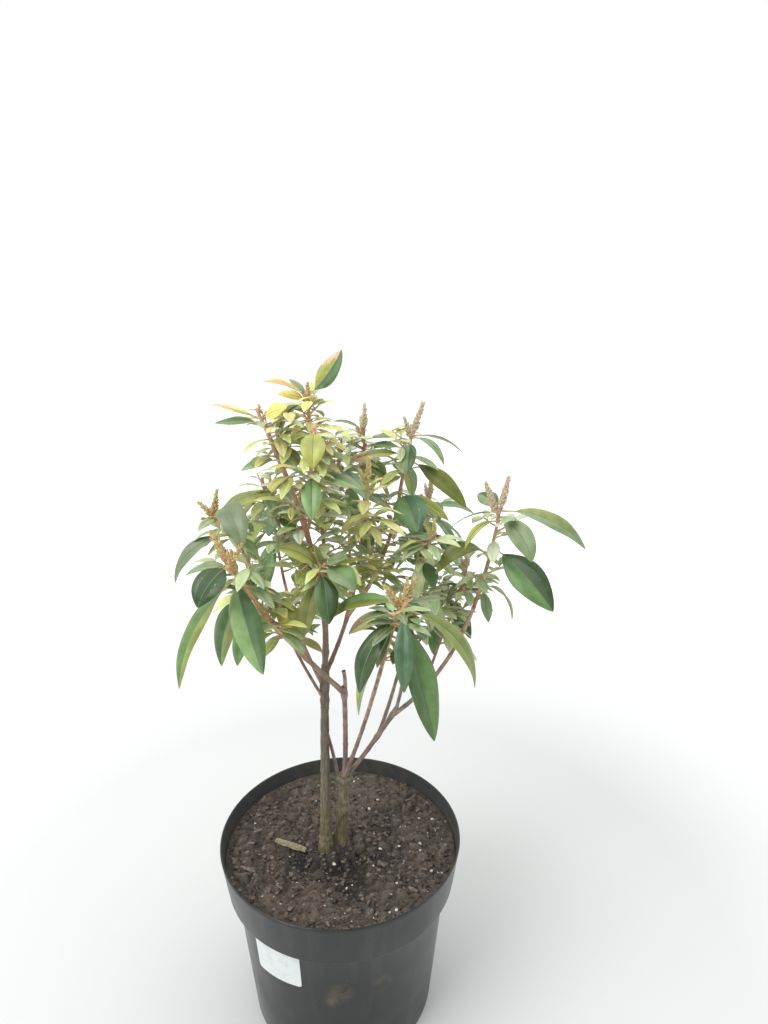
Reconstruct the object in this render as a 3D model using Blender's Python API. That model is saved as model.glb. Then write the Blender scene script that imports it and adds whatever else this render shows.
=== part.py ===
"""Young mountain laurel in its round nursery pot.

Two stems stand in the soil of a plastic pot and fork into boughs. Each bough ends where
it enters a mass of foliage: a leafy shoot with evergreen leaves round its stem and, on
most shoots, a cluster of upright flower bud spikes at its tip.

Metres, Z up. The origin is the middle of the pot's flat underside, and -Y faces the viewer.
The tables of limbs and shoots are in millimetres and degrees.
"""
import math
import random

import bpy
import bmesh
from mathutils import Vector, noise
from mathutils.bvhtree import BVHTree

MM = 0.001
GAP = 0.3 * MM

# Pot
POT_HEIGHT = 166 * MM
RIM_RADIUS = 104 * MM
BAND_FOOT_RADIUS = 99 * MM
BAND_FOOT = 128 * MM
SHOULDER = 5 * MM
BODY_TOP_RADIUS = 92.3 * MM
BASE_RADIUS = 80.5 * MM
WALL = 1.6 * MM
FLOOR = 2 * MM
BEVEL = 1.2 * MM
POT_SEGMENTS = 40
DRAIN_HOLES = 6
DRAIN_RADIUS = 6 * MM
DRAIN_RING = 56 * MM

# Soil
SOIL_TOP = 152 * MM
SOIL_BUMPS = 3 * MM
LEVEL_ROUND_STEMS = 24 * MM

# Label on the pot's body, at the front left
LABEL_FROM = -137
LABEL_TO = -108
LABEL_MIDDLE = 103 * MM
LABEL_HEIGHT = 34 * MM
LABEL_TILT = 5 * MM
LABEL_THICKNESS = 0.4 * MM

# Stems: where each foot stands on the soil, and how much wider the root flare makes it
FEET = {"stem_left": (-13, -5), "stem_right": (0, 3)}
FLARE = 2.2 * MM
FLARE_HEIGHT = 14 * MM

# Limbs: parent, how far up the parent the limb springs, tip, how far its middle bends off
# the straight line, and the radius at foot and tip
LIMBS = {
    "stem_left": (None, 0, (-10, -5, 330), (0.3, 0, 0), 4.4, 2.9),
    "stem_right": (None, 0, (4, -5, 226), (1, 0, 0), 4.4, 4.1),
    "bough_tall": ("stem_left", 1, (-35, -27, 500), (5, 2, 0), 2.9, 2.0),
    "bough_top": ("bough_tall", 0.08, (-15, 9, 492), (3, 4, 0), 2.1, 1.5),
    "bough_back": ("stem_left", 0.95, (21, 58, 455), (7, 10, -10), 2.2, 1.5),
    "bough_upper_right": ("bough_back", 0.35, (50, 30, 462), (6, -3, -4), 2.0, 1.5),
    "bough_cross": ("stem_right", 0.5, (-8.6, 0, 258), (1, 1, 0), 2.3, 1.5),
    "bough_middle": ("stem_right", 1, (6, -20, 319), (1, 2, 0), 2.4, 2.2),
    "cut_stub": ("bough_middle", 0.93, (6, -20, 333), (1, 0, 0), 1.7, 1.3),
    "bough_left": ("bough_middle", 0.95, (-44, -54, 393), (-3, -2, 2), 2.4, 1.8),
    "bough_upper_left": ("bough_left", 0.48, (-66, -31, 437), (-2, 1, 2), 1.8, 1.4),
    "bough_right": ("stem_right", 0.94, (48, 2, 286), (1, 0, -1), 2.2, 2.3),
    "bough_mid_right": ("bough_right", 1, (66, 2, 408), (-14, -2, 2), 1.8, 1.2),
    "bough_right_outer": ("bough_right", 0.9, (115, 16, 384), (7, -1, -9), 2.1, 1.8),
    "bough_inner_right": ("bough_right_outer", 0.3, (99, 27, 374), (-2, 2, -4), 1.4, 1.1),
    "bough_front": ("stem_right", 0.97, (40, -62, 376), (0.5, 0, -5), 2.0, 1.7),
    "bough_inner_left": ("stem_left", 0.82, (-39, -27, 376), (0, 0, -3), 1.5, 1.2),
    "bough_centre_top": ("bough_tall", 0.72, (-13, -36, 492), (2, -2, -3), 1.5, 1.2),
    "bough_centre": ("bough_tall", 0.38, (-9, -38, 418), (2, -2, -3), 1.5, 1.2),
    "bough_mid_left": ("bough_tall", 0.5, (-44, -4, 452), (-2, 2, -3), 1.4, 1.2),
    "bough_mid_back": ("bough_top", 0.7, (-2, 24, 470), (0, 2, -4), 1.4, 1.2),
    "bough_young": ("bough_upper_right", 0.25, (27, -4, 425), (3, -4, -4), 1.4, 1.2),
    "bough_rear_right": ("bough_right", 0.62, (70, 78, 398), (4, 6, -12), 1.9, 1.4),
    "bough_low_right": ("bough_rear_right", 0.45, (84, 62, 345), (2, 4, -5), 1.4, 1.1),
    "bough_rear_left": ("stem_left", 0.88, (-55, 70, 398), (-5, 8, -10), 1.9, 1.4),
    "bough_low_left": ("bough_rear_left", 0.5, (-66, 44, 352), (-3, 0, -4), 1.4, 1.1),
    "bough_rear": ("bough_back", 0.4, (6, 92, 422), (0, 8, -8), 1.6, 1.3),
}
STEM_SIDES = 10
LIMB_SIDES = 6
LIMB_STEPS = 5

# Shoots: the limb each one carries on, the tip of its stem, how many leaves the rule adds,
# their length, the rise of the lowest and the highest leaf and their droop. The spikes of
# flower buds near the tip have a heading, rise and length each. The named leaves are the
# large ones that make the crown's outline: place along the stem, heading, rise, droop,
# length, width and turn about the midrib.
SHOOTS = {
    "foliage_right": dict(
        limb="bough_right_outer", tip=(128, 10, 457), leaves=3, length=34, rise=(-25, 25), droop=40,
        spikes=((0, 78, 30), (180, 68, 32)),
        named=((0.97, -15, 10, 62, 75, 17, 25), (0.88, -56, 8, 80, 49, 18, 30),
               (0.58, -46, -20, 25, 71, 26, 40), (0.96, 140, 36, 40, 31, 15, -25),
               (0.96, -165, 12, 50, 43, 5, 30), (0.86, -141, 20, 85, 43, 6, -20),
               (0.42, -156, 54, 98, 76, 14, -25), (0.1, 25, -12, 75, 53, 13, 15),
               (0.08, -70, -45, 30, 30, 10, 0)),
    ),
    "foliage_upper_right": dict(
        limb="bough_upper_right", tip=(60, 30, 512), leaves=3, length=30, rise=(-25, 30), droop=45,
        spikes=((0, 72, 29), (180, 74, 20)),
        named=((0.97, 0, 9, 55, 44, 6, 10), (0.94, -42, 15, 85, 40, 7, 15),
               (0.62, -15, -22, 30, 62, 17, 35), (0.9, -98, -15, 50, 34, 13, 10),
               (0.6, -73, -40, 40, 31, 11, 0), (0.05, -72, -5, 45, 47, 26, 20),
               (0.05, -8, -14, 30, 46, 13, 25), (0.68, -167, 15, 40, 50, 11, -25)),
    ),
    "foliage_back_top": dict(
        limb="bough_back", tip=(21, 60, 510), leaves=8, length=34, rise=(-20, 35), droop=45,
        spikes=((0, 88, 24), (110, 60, 19), (230, 56, 18)),
        named=((0.98, -165, 45, 50, 28, 7, -15), (0.85, 0, 25, 40, 28, 8, 15),
               (0.7, 165, 38, 30, 26, 9, -15), (0.75, -10, 22, 40, 30, 10, 20),
               (0.6, -42, -5, 40, 28, 10, 20)),
    ),
    "foliage_top": dict(
        limb="bough_top", tip=(-18, 0, 546), leaves=6, length=24, rise=(5, 55), droop=40,
        spikes=((0, 88, 11), (150, 55, 9)),
        named=((0.98, 0, 40, -25, 42, 17, 55), (0.9, -150, 0, 100, 42, 11, 60),
               (0.95, -150, 48, 50, 37, 7, -30), (0.9, -172, 36, 40, 23, 12, -25),
               (0.98, 150, 45, 20, 20, 6, -20), (0.45, -10, 70, 10, 20, 9, 0),
               (0.4, -160, 66, 10, 22, 9, 0)),
    ),
    "foliage_top_left": dict(
        limb="bough_tall", tip=(-49, -30, 537), leaves=6, length=26, rise=(0, 40), droop=45,
        spikes=((0, 88, 7),),
        named=((0.9, -10, 34, 20, 21, 13, 45), (0.9, 175, 21, 10, 35, 6, -20),
               (0.84, 172, 5, 15, 35, 10, -25), (0.1, 165, -5, 25, 32, 14, -25),
               (0.35, -20, 2, 60, 24, 10, 25)),
    ),
    "foliage_centre_top": dict(
        limb="bough_centre_top", tip=(-10, -36, 527), leaves=5, length=26, rise=(-10, 35), droop=45,
        spikes=(),
        named=((0.95, -88, -5, 70, 34, 17, 0), (0.1, -85, -15, 65, 38, 14, 0),
               (0.05, -20, 8, 35, 38, 13, 20), (0.5, -15, 15, 35, 28, 8, 20),
               (0.9, -170, 5, 50, 24, 9, -15)),
    ),
    "foliage_upper_left": dict(
        limb="bough_upper_left", tip=(-86, -30, 464), leaves=4, length=28, rise=(-15, 20), droop=45,
        spikes=((0, 78, 21), (180, 45, 18), (210, 15, 13)),
        named=((0.97, 13, 38, 40, 48, 12, 25), (0.88, -56, 58, 142, 60, 19, 25),
               (0.42, -170, 3, 85, 60, 13, -30)),
    ),
    "foliage_left": dict(
        limb="bough_left", tip=(-66, -70, 442), leaves=3, length=32, rise=(-40, 10), droop=45,
        spikes=((0, 62, 18), (180, 84, 15), (250, 40, 13), (180, 62, 40)),
        named=((0.9, -56, -72, -30, 74, 20, 20), (0.8, -160, -35, 50, 93, 15, -30),
               (0.97, -128, -8, 55, 38, 23, -15), (0.95, 178, 10, 45, 34, 9, -20),
               (0.55, 160, -45, 45, 70, 19, -75), (0.7, 170, -60, 30, 36, 9, -60)),
    ),
    "foliage_inner_left": dict(
        limb="bough_inner_left", tip=(-41, -34, 402), leaves=5, length=26, rise=(-30, 15), droop=40,
        spikes=(),
        named=((0.9, -75, -12, 55, 38, 20, 0),),
    ),
    "foliage_centre": dict(
        limb="bough_centre", tip=(-5, -46, 431), leaves=3, length=28, rise=(-35, 20), droop=45,
        spikes=(),
        named=((0.9, -40, 10, 55, 34, 18, 15), (0.75, -75, -30, 40, 42, 17, 0),
               (0.3, -150, -52, 30, 48, 13, -40), (0.6, 178, 58, 60, 37, 13, -35),
               (0.9, -20, 45, 40, 22, 13, 20), (0.8, 150, 75, 10, 18, 8, 0)),
    ),
    "foliage_front": dict(
        limb="bough_front", tip=(53, -80, 418), leaves=3, length=30, rise=(-45, 10), droop=45,
        spikes=((0, 88, 19), (0, 69, 24), (180, 55, 23), (90, 60, 14), (270, 48, 13)),
        named=((0.8, -53, -60, 12, 90, 24, 0), (0.88, -90, -35, 50, 58, 13, 0),
               (0.84, 9, -15, 72, 90, 17, 32), (0.76, -145, -25, 62, 64, 17, -15),
               (0.7, 160, -50, 40, 92, 14, -50), (0.9, 150, 10, 65, 72, 14, -30),
               (0.9, 62, -10, 60, 62, 17, 20), (0.75, 170, -5, 45, 42, 10, -60)),
    ),
    "foliage_inner_right": dict(
        limb="bough_inner_right", tip=(107, 40, 395), leaves=7, length=34, rise=(-35, 20), droop=45,
        spikes=((0, 88, 22), (120, 60, 15), (240, 55, 13)), named=(),
    ),
    "foliage_young": dict(
        limb="bough_young", tip=(26, -10, 485), leaves=10, length=30, rise=(-20, 50), droop=45,
        spikes=((0, 88, 20), (190, 66, 17), (10, 58, 15)), named=(),
    ),
    "foliage_mid_left": dict(
        limb="bough_mid_left", tip=(-54, 2, 480), leaves=7, length=34, rise=(-30, 30), droop=45,
        spikes=(),
        named=((0.8, -140, -20, 40, 26, 10, 0), (0.05, -15, 5, 50, 24, 9, 20)),
    ),
    "foliage_mid_back": dict(
        limb="bough_mid_back", tip=(4, 30, 504), leaves=9, length=36, rise=(-30, 30), droop=45,
        spikes=(), named=(),
    ),
    "foliage_mid_right": dict(
        limb="bough_mid_right", tip=(76, -6, 440), leaves=7, length=36, rise=(-35, 25), droop=45,
        spikes=((0, 88, 15), (150, 60, 12)),
        named=((0.95, 180, 20, 40, 24, 9, -10), (0.05, -5, -38, 30, 52, 9, 20),
               (0.35, -60, -30, 40, 26, 13, 0)),
    ),
    "foliage_rear_right": dict(
        limb="bough_rear_right", tip=(79, 90, 445), leaves=12, length=56, rise=(-35, 25), droop=50,
        spikes=((0, 88, 22), (110, 58, 19), (230, 52, 18)), named=(),
    ),
    "foliage_low_right": dict(
        limb="bough_low_right", tip=(92, 72, 370), leaves=7, length=50, rise=(-40, 15), droop=45,
        spikes=(), named=(),
    ),
    "foliage_rear_left": dict(
        limb="bough_rear_left", tip=(-64, 90, 445), leaves=12, length=56, rise=(-35, 25), droop=50,
        spikes=((0, 88, 22), (60, 56, 19), (200, 54, 18)), named=(),
    ),
    "foliage_low_left": dict(
        limb="bough_low_left", tip=(-78, 50, 376), leaves=7, length=48, rise=(-40, 15), droop=45,
        spikes=(), named=(),
    ),
    "foliage_rear": dict(
        limb="bough_rear", tip=(6, 105, 470), leaves=11, length=54, rise=(-30, 30), droop=50,
        spikes=((0, 88, 22), (70, 56, 19), (200, 56, 17)), named=(),
    ),
}
SHOOT_SIDES = 5
SHOOT_STEPS = 4
SHOOT_RADII = (1.4 * MM, 1.1 * MM)
GOLDEN_ANGLE = 137.5
FIRST_LEAF = 0.3
LAST_LEAF = 0.9
WIDTH_SHARE = 0.33
HEADINGS_TRIED = (0, 22, -22, 45, -45, 70, -70)

# Leaves: a petiole and a folded blade, thickest along the midrib
PETIOLE_SHARE = 0.16
PETIOLE_WIDTH = 1.6 * MM
LEAF_THICKNESS = 1.3 * MM
LEAF_FOLD = 0.22
NAMED_STATIONS = (0.28, 0.55, 0.8)
RULE_STATIONS = (0.33, 0.7)
CLEARANCE = 0.6 * MM

# Flower bud spikes: radius along the spike, as a share of its length
SPIKE_SIDES = 4
SPIKE_PROFILE = ((0.0, 0.05), (0.3, 0.07), (0.5, 0.15), (0.75, 0.12))
SPIKE_TOP = 0.97
SPIKE_STEP = 0.07

COLOURS = {
    "pot": ((0.035, 0.038, 0.040), 0.45),
    "soil": ((0.045, 0.030, 0.020), 0.95),
    "label": ((0.85, 0.85, 0.85), 0.6),
    "stem": ((0.16, 0.11, 0.07), 0.8),
    "bough": ((0.28, 0.13, 0.08), 0.7),
    "foliage": ((0.10, 0.20, 0.06), 0.5),
}


def clear_scene():
    for obj in list(bpy.data.objects):
        bpy.data.objects.remove(obj, do_unlink=True)


def give_material(obj, colour, roughness):
    """Give the object a Principled material of its own."""
    material = bpy.data.materials.new(obj.name)
    material.use_nodes = True
    shader = material.node_tree.nodes["Principled BSDF"]
    shader.inputs["Base Color"].default_value = (*colour, 1.0)
    shader.inputs["Roughness"].default_value = roughness
    obj.data.materials.clear()
    obj.data.materials.append(material)


def new_object(name, verts, faces, collection=None):
    mesh = bpy.data.meshes.new(name)
    mesh.from_pydata([tuple(v) for v in verts], [], faces)
    obj = bpy.data.objects.new(name, mesh)
    (collection or bpy.context.scene.collection).objects.link(obj)
    return obj


def finish_object(obj, kind, sharp_angle=40):
    give_material(obj, *COLOURS[kind])
    obj.data.shade_smooth()
    obj.data.set_sharp_from_angle(angle=math.radians(sharp_angle))
    return obj


def apply_modifiers(obj):
    """Replace the object's mesh by its evaluated one and drop the modifiers."""
    graph = bpy.context.evaluated_depsgraph_get()
    mesh = bpy.data.meshes.new_from_object(obj.evaluated_get(graph))
    obj.modifiers.clear()
    obj.data = mesh
    mesh.name = obj.name


def combine(obj, others, operation, solver="EXACT"):
    """Cut the others from the object, or join them to it, by one Boolean on a collection."""
    group = bpy.data.collections.new(obj.name + "_tools")
    bpy.context.scene.collection.children.link(group)
    for k, (verts, faces) in enumerate(others):
        new_object(f"{obj.name}_tool_{k}", verts, faces, group)
    boolean = obj.modifiers.new("combine", "BOOLEAN")
    boolean.operation = operation
    boolean.operand_type = "COLLECTION"
    boolean.collection = group
    boolean.solver = solver
    apply_modifiers(obj)
    for tool in list(group.objects):
        bpy.data.objects.remove(tool, do_unlink=True)
    bpy.data.collections.remove(group)


def keep_largest(obj):
    """Keep the outer skin only: fill sealed pockets and drop loose scraps beside it."""
    shape = bmesh.new()
    shape.from_mesh(obj.data)
    bmesh.ops.triangulate(shape, faces=shape.faces[:])
    islands = []
    left = set(shape.faces)
    while left:
        stack = [left.pop()]
        island = list(stack)
        while stack:
            for edge in stack.pop().edges:
                for face in edge.link_faces:
                    if face in left and len(edge.link_faces) == 2:
                        left.discard(face)
                        island.append(face)
                        stack.append(face)
        islands.append(island)
    islands.sort(key=len)
    scraps = [face for island in islands[:-1] for face in island]
    bmesh.ops.delete(shape, geom=scraps, context="FACES")
    shape.to_mesh(obj.data)
    shape.free()


def skin(rings):
    """Join rings of points into one closed skin; a ring of one point is a tip."""
    verts = []
    faces = []
    starts = []
    for ring in rings:
        starts.append(len(verts))
        verts.extend(ring)
    count = max(len(ring) for ring in rings)
    for k in range(len(rings) - 1):
        low, high = starts[k], starts[k + 1]
        for i in range(count):
            j = (i + 1) % count
            if len(rings[k]) == 1:
                faces.append((low, high + j, high + i))
            elif len(rings[k + 1]) == 1:
                faces.append((low + i, low + j, high))
            else:
                faces.append((low + i, low + j, high + j, high + i))
    if len(rings[0]) > 1:
        faces.append(tuple(range(count))[::-1])
    if len(rings[-1]) > 1:
        faces.append(tuple(starts[-1] + i for i in range(count)))
    return verts, faces


def turned(profile, segments):
    """Turn a profile of (radius, height) points round the Z axis."""
    rings = []
    for radius, height in profile:
        if radius == 0:
            rings.append([Vector((0, 0, height))])
        else:
            angles = [2 * math.pi * i / segments for i in range(segments)]
            rings.append([Vector((radius * math.cos(a), radius * math.sin(a), height)) for a in angles])
    return skin(rings)


def body_radius(height):
    """Outer radius of the pot's tapering body, under its rim band."""
    return BASE_RADIUS + (BODY_TOP_RADIUS - BASE_RADIUS) * height / BAND_FOOT


def band_radius(height):
    """Outer radius of the rim band."""
    share = (height - BAND_FOOT) / (POT_HEIGHT - BAND_FOOT)
    return BAND_FOOT_RADIUS + (RIM_RADIUS - BAND_FOOT_RADIUS) * share


def pot_inside():
    """The pot's inner wall from its floor up, as (radius, height) points."""
    step = BAND_FOOT - SHOULDER
    lift = 0.6 * WALL
    return [
        (body_radius(FLOOR) - WALL, FLOOR),
        (body_radius(step) - WALL, step + lift),
        (band_radius(BAND_FOOT) - WALL, BAND_FOOT + lift),
        (RIM_RADIUS - WALL, POT_HEIGHT - BEVEL / 2),
    ]


def make_pot():
    outside = [
        (0, 0),
        (DRAIN_RING - 2 * DRAIN_RADIUS, 0),
        (DRAIN_RING + 2 * DRAIN_RADIUS, 0),
        (BASE_RADIUS - BEVEL, 0),
        (BASE_RADIUS, BEVEL),
        (body_radius(BAND_FOOT - SHOULDER), BAND_FOOT - SHOULDER),
        (BAND_FOOT_RADIUS - BEVEL / 2, BAND_FOOT),
        (BAND_FOOT_RADIUS, BAND_FOOT + BEVEL),
        (RIM_RADIUS, POT_HEIGHT - BEVEL / 2),
        (RIM_RADIUS - BEVEL / 2, POT_HEIGHT),
        (RIM_RADIUS - WALL + BEVEL / 3, POT_HEIGHT),
    ]
    inside = pot_inside()[::-1] + [(0, FLOOR)]
    pot = new_object("pot", *turned(outside + inside, POT_SEGMENTS))
    holes = []
    for k in range(DRAIN_HOLES):
        angle = 2 * math.pi * (k + 0.5) / DRAIN_HOLES
        middle = Vector((DRAIN_RING * math.cos(angle), DRAIN_RING * math.sin(angle), 0))
        verts, faces = turned([(DRAIN_RADIUS, -FLOOR), (DRAIN_RADIUS, 2 * FLOOR)], 10)
        holes.append(([middle + v for v in verts], faces))
    combine(pot, holes, "DIFFERENCE")
    return finish_object(pot, "pot", 25)


def soil_height(x, y, share):
    """Height of the soil's surface: low bumps, level at the wall and round the stems."""
    nearest = min(math.hypot(x - fx * MM, y - fy * MM) for fx, fy in FEET.values())
    fade = min(1, max(0, nearest / LEVEL_ROUND_STEMS - 1)) * min(1, 4 * (1 - share))
    return SOIL_TOP + SOIL_BUMPS * fade * noise.noise(Vector((x, y, 0)) * 38)


def make_soil():
    wall = [(radius - GAP, height + GAP) for radius, height in pot_inside()[:-1]]
    top_radius = band_radius(SOIL_TOP) - WALL - GAP
    verts, faces = turned([(0, FLOOR + GAP)] + wall + [(top_radius, SOIL_TOP)], POT_SEGMENTS)
    faces.pop()
    rim = len(verts) - POT_SEGMENTS
    for share in (0.8, 0.55, 0.32, 0.16):
        start = len(verts)
        for i in range(POT_SEGMENTS):
            angle = 2 * math.pi * i / POT_SEGMENTS
            x = top_radius * share * math.cos(angle)
            y = top_radius * share * math.sin(angle)
            verts.append(Vector((x, y, soil_height(x, y, share))))
        for i in range(POT_SEGMENTS):
            j = (i + 1) % POT_SEGMENTS
            faces.append((rim + i, rim + j, start + j, start + i))
        rim = start
    verts.append(Vector((0, 0, SOIL_TOP)))
    for i in range(POT_SEGMENTS):
        faces.append((rim + i, rim + (i + 1) % POT_SEGMENTS, len(verts) - 1))
    return finish_object(new_object("soil", verts, faces), "soil", 60)


def make_label():
    """A thin sticker bent round the pot's body, slightly askew as it was stuck on."""
    steps = 8
    rings = []
    for k in range(steps + 1):
        share = k / steps
        angle = math.radians(LABEL_FROM + (LABEL_TO - LABEL_FROM) * share)
        ring = []
        for side, lift in ((-1, 0), (1, 0), (1, LABEL_THICKNESS), (-1, LABEL_THICKNESS)):
            height = LABEL_MIDDLE + side * LABEL_HEIGHT / 2 + LABEL_TILT * (share - 0.5)
            radius = body_radius(height) + GAP + lift
            ring.append(Vector((radius * math.cos(angle), radius * math.sin(angle), height)))
        rings.append(ring)
    return finish_object(new_object("label", *skin(rings)), "label")


class Limb:
    """A tapering limb along a curve from its foot to its tip."""

    def __init__(self, foot, control, tip, foot_radius, tip_radius, flare=0.0):
        self.foot = Vector(foot)
        self.control = Vector(control)
        self.tip = Vector(tip)
        self.foot_radius = foot_radius
        self.tip_radius = tip_radius
        self.flare = flare
        self.length = (self.control - self.foot).length + (self.tip - self.control).length

    def point(self, t):
        return self.foot * (1 - t) ** 2 + self.control * 2 * t * (1 - t) + self.tip * t * t

    def direction(self, t):
        way = (self.control - self.foot) * (1 - t) + (self.tip - self.control) * t
        return way.normalized()

    def radius(self, t):
        root = self.flare * math.exp(-t * self.length / FLARE_HEIGHT)
        return self.foot_radius + (self.tip_radius - self.foot_radius) * t + root

    def rings(self, sides, steps, extra=0.0):
        """Rings of points round the limb, wider and longer by the extra on every side."""
        rings = []
        for k in range(steps + 1):
            t = k / steps
            if self.flare and k < steps:
                t = t ** 1.8
            way = self.direction(t)
            across = way.cross(Vector((0, 1, 0))).normalized()
            up = across.cross(way)
            middle = self.point(t)
            if k == 0:
                middle = middle - way * extra
            if k == steps:
                middle = middle + way * extra
            radius = self.radius(t) + extra
            ring = []
            for i in range(sides):
                angle = -2 * math.pi * i / sides
                ring.append(middle + (across * math.cos(angle) + up * math.sin(angle)) * radius)
            if self.flare and k == 0:
                for point in ring:
                    point.z = self.foot.z - extra
            rings.append(ring)
        return rings


def plan_limbs():
    """Work out every limb's curve from its parent."""
    limbs = {}
    for name, (parent, at, tip, bend, foot_radius, tip_radius) in LIMBS.items():
        tip = Vector(tip) * MM
        if parent is None:
            foot = Vector((*FEET[name], 0)) * MM + Vector((0, 0, SOIL_TOP + GAP))
            control = Vector((foot.x, foot.y, (foot.z + tip.z) / 2))
            control += Vector(bend) * 2 * MM
            flare = FLARE
        elif at == 1:
            way = limbs[parent].direction(1)
            foot = limbs[parent].tip + way * GAP
            control = foot + way * (tip - foot).length * 0.4 + Vector(bend) * MM
            flare = 0.0
        else:
            foot = limbs[parent].point(at)
            control = (foot + tip) / 2 + Vector(bend) * 2 * MM
            flare = 0.0
        limbs[name] = Limb(foot, control, tip, foot_radius * MM, tip_radius * MM, flare)
    return limbs


def make_limbs(limbs):
    """Build every limb, its foot cut clear of the limbs that were there before it."""
    cutters = {}
    for name, limb in limbs.items():
        kind = "stem" if name.startswith("stem") else "bough"
        sides = STEM_SIDES if kind == "stem" else LIMB_SIDES
        obj = new_object(name, *skin(limb.rings(sides, LIMB_STEPS)))
        if cutters:
            foot = limb.foot
            near = [shape for shape, other in cutters.values() if touches(foot, other)]
            if near:
                combine(obj, near, "DIFFERENCE")
                keep_largest(obj)
        cutters[name] = (skin(limb.rings(sides, LIMB_STEPS, GAP)), limb)
        finish_object(obj, kind, 50)


def touches(point, limb):
    """Whether a limb that springs at the point could touch the other limb."""
    return min((limb.point(k / 20) - point).length for k in range(21)) < 14 * MM


class Leaf:
    """A leaf on its petiole: a midrib that droops from its rise, and a folded blade."""

    def __init__(self, root, stations, heading, rise, droop, length, width, turn):
        self.root = Vector(root)
        self.stations = stations
        self.ahead = Vector((math.cos(math.radians(heading)), math.sin(math.radians(heading)), 0))
        self.beside = Vector((-self.ahead.y, self.ahead.x, 0))
        self.rise = math.radians(rise)
        self.droop = math.radians(droop) + 0.001
        self.length = length
        self.width = width
        self.turn = math.radians(turn)

    def rib(self, share):
        """Point on the midrib, with the directions across the blade and out of its face."""
        slope = self.rise - self.droop * share
        reach = self.length * (math.sin(self.rise) - math.sin(slope)) / self.droop
        height = self.length * (math.cos(slope) - math.cos(self.rise)) / self.droop
        point = self.root + self.ahead * reach + Vector((0, 0, height))
        way = self.ahead * math.cos(slope) + Vector((0, 0, math.sin(slope)))
        face = way.cross(self.beside)
        turn = self.turn * min(1, 3 * share)
        across = self.beside * math.cos(turn) + face * math.sin(turn)
        face = face * math.cos(turn) - self.beside * math.sin(turn)
        return point, across, face

    def rings(self, extra=0.0, blade_only=False):
        rings = []
        stations = [(0, PETIOLE_WIDTH / 2), (PETIOLE_SHARE, PETIOLE_WIDTH / 2)]
        for station in self.stations:
            share = PETIOLE_SHARE + (1 - PETIOLE_SHARE) * station
            stations.append((share, self.width / 2 * outline(station)))
        for share, half in stations[1 if blade_only else 0:]:
            point, across, face = self.rib(share)
            half += extra
            thick = LEAF_THICKNESS / 2 + extra
            lift = face * (half * LEAF_FOLD)
            ring = [point + across * half + lift, point + face * thick]
            ring += [point - across * half + lift, point - face * thick]
            rings.append(ring)
        point = self.rib(1)[0]
        tail = (point - self.rib(0.95)[0]).normalized()
        rings.append([point + tail * extra])
        return rings


def outline(share):
    """Half width of a blade along its length, as a share of its widest."""
    return math.sin(math.pi * share ** 0.9)


class Space:
    """What is already built, so that a new twig or leaf can be kept clear of it."""

    def __init__(self):
        self.shapes = []

    def add(self, owner, shape):
        verts, faces = shape
        middle = sum(verts, Vector()) / len(verts)
        reach = max((v - middle).length for v in verts)
        self.shapes.append((owner, BVHTree.FromPolygons(verts, faces), middle, reach))

    def is_free(self, shape, owner=None, own=False):
        """Whether the shape touches nothing of the other owners, or nothing of its own."""
        verts, faces = shape
        middle = sum(verts, Vector()) / len(verts)
        reach = max((v - middle).length for v in verts)
        tree = BVHTree.FromPolygons(verts, faces)
        for other, other_tree, other_middle, other_reach in self.shapes:
            if (other == owner) != own:
                continue
            if (other_middle - middle).length < reach + other_reach and tree.overlap(other_tree):
                return False
        return True


def spike_rings(root, heading, rise, length):
    """A slender spike of flower buds, thickest low down and pointed at its tip."""
    heading = math.radians(heading)
    rise = math.radians(rise)
    way = Vector((math.cos(heading) * math.cos(rise), math.sin(heading) * math.cos(rise), math.sin(rise)))
    across = Vector((-math.sin(heading), math.cos(heading), 0))
    up = across.cross(way)
    rings = []
    for k, (share, width) in enumerate(SPIKE_PROFILE):
        ring = []
        for i in range(SPIKE_SIDES):
            angle = -2 * math.pi * (i + 0.5 * (k % 2)) / SPIKE_SIDES
            offset = (across * math.cos(angle) + up * math.sin(angle)) * width * length
            ring.append(root + way * share * length + offset)
        rings.append(ring)
    rings.append([root + way * length])
    return rings


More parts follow.
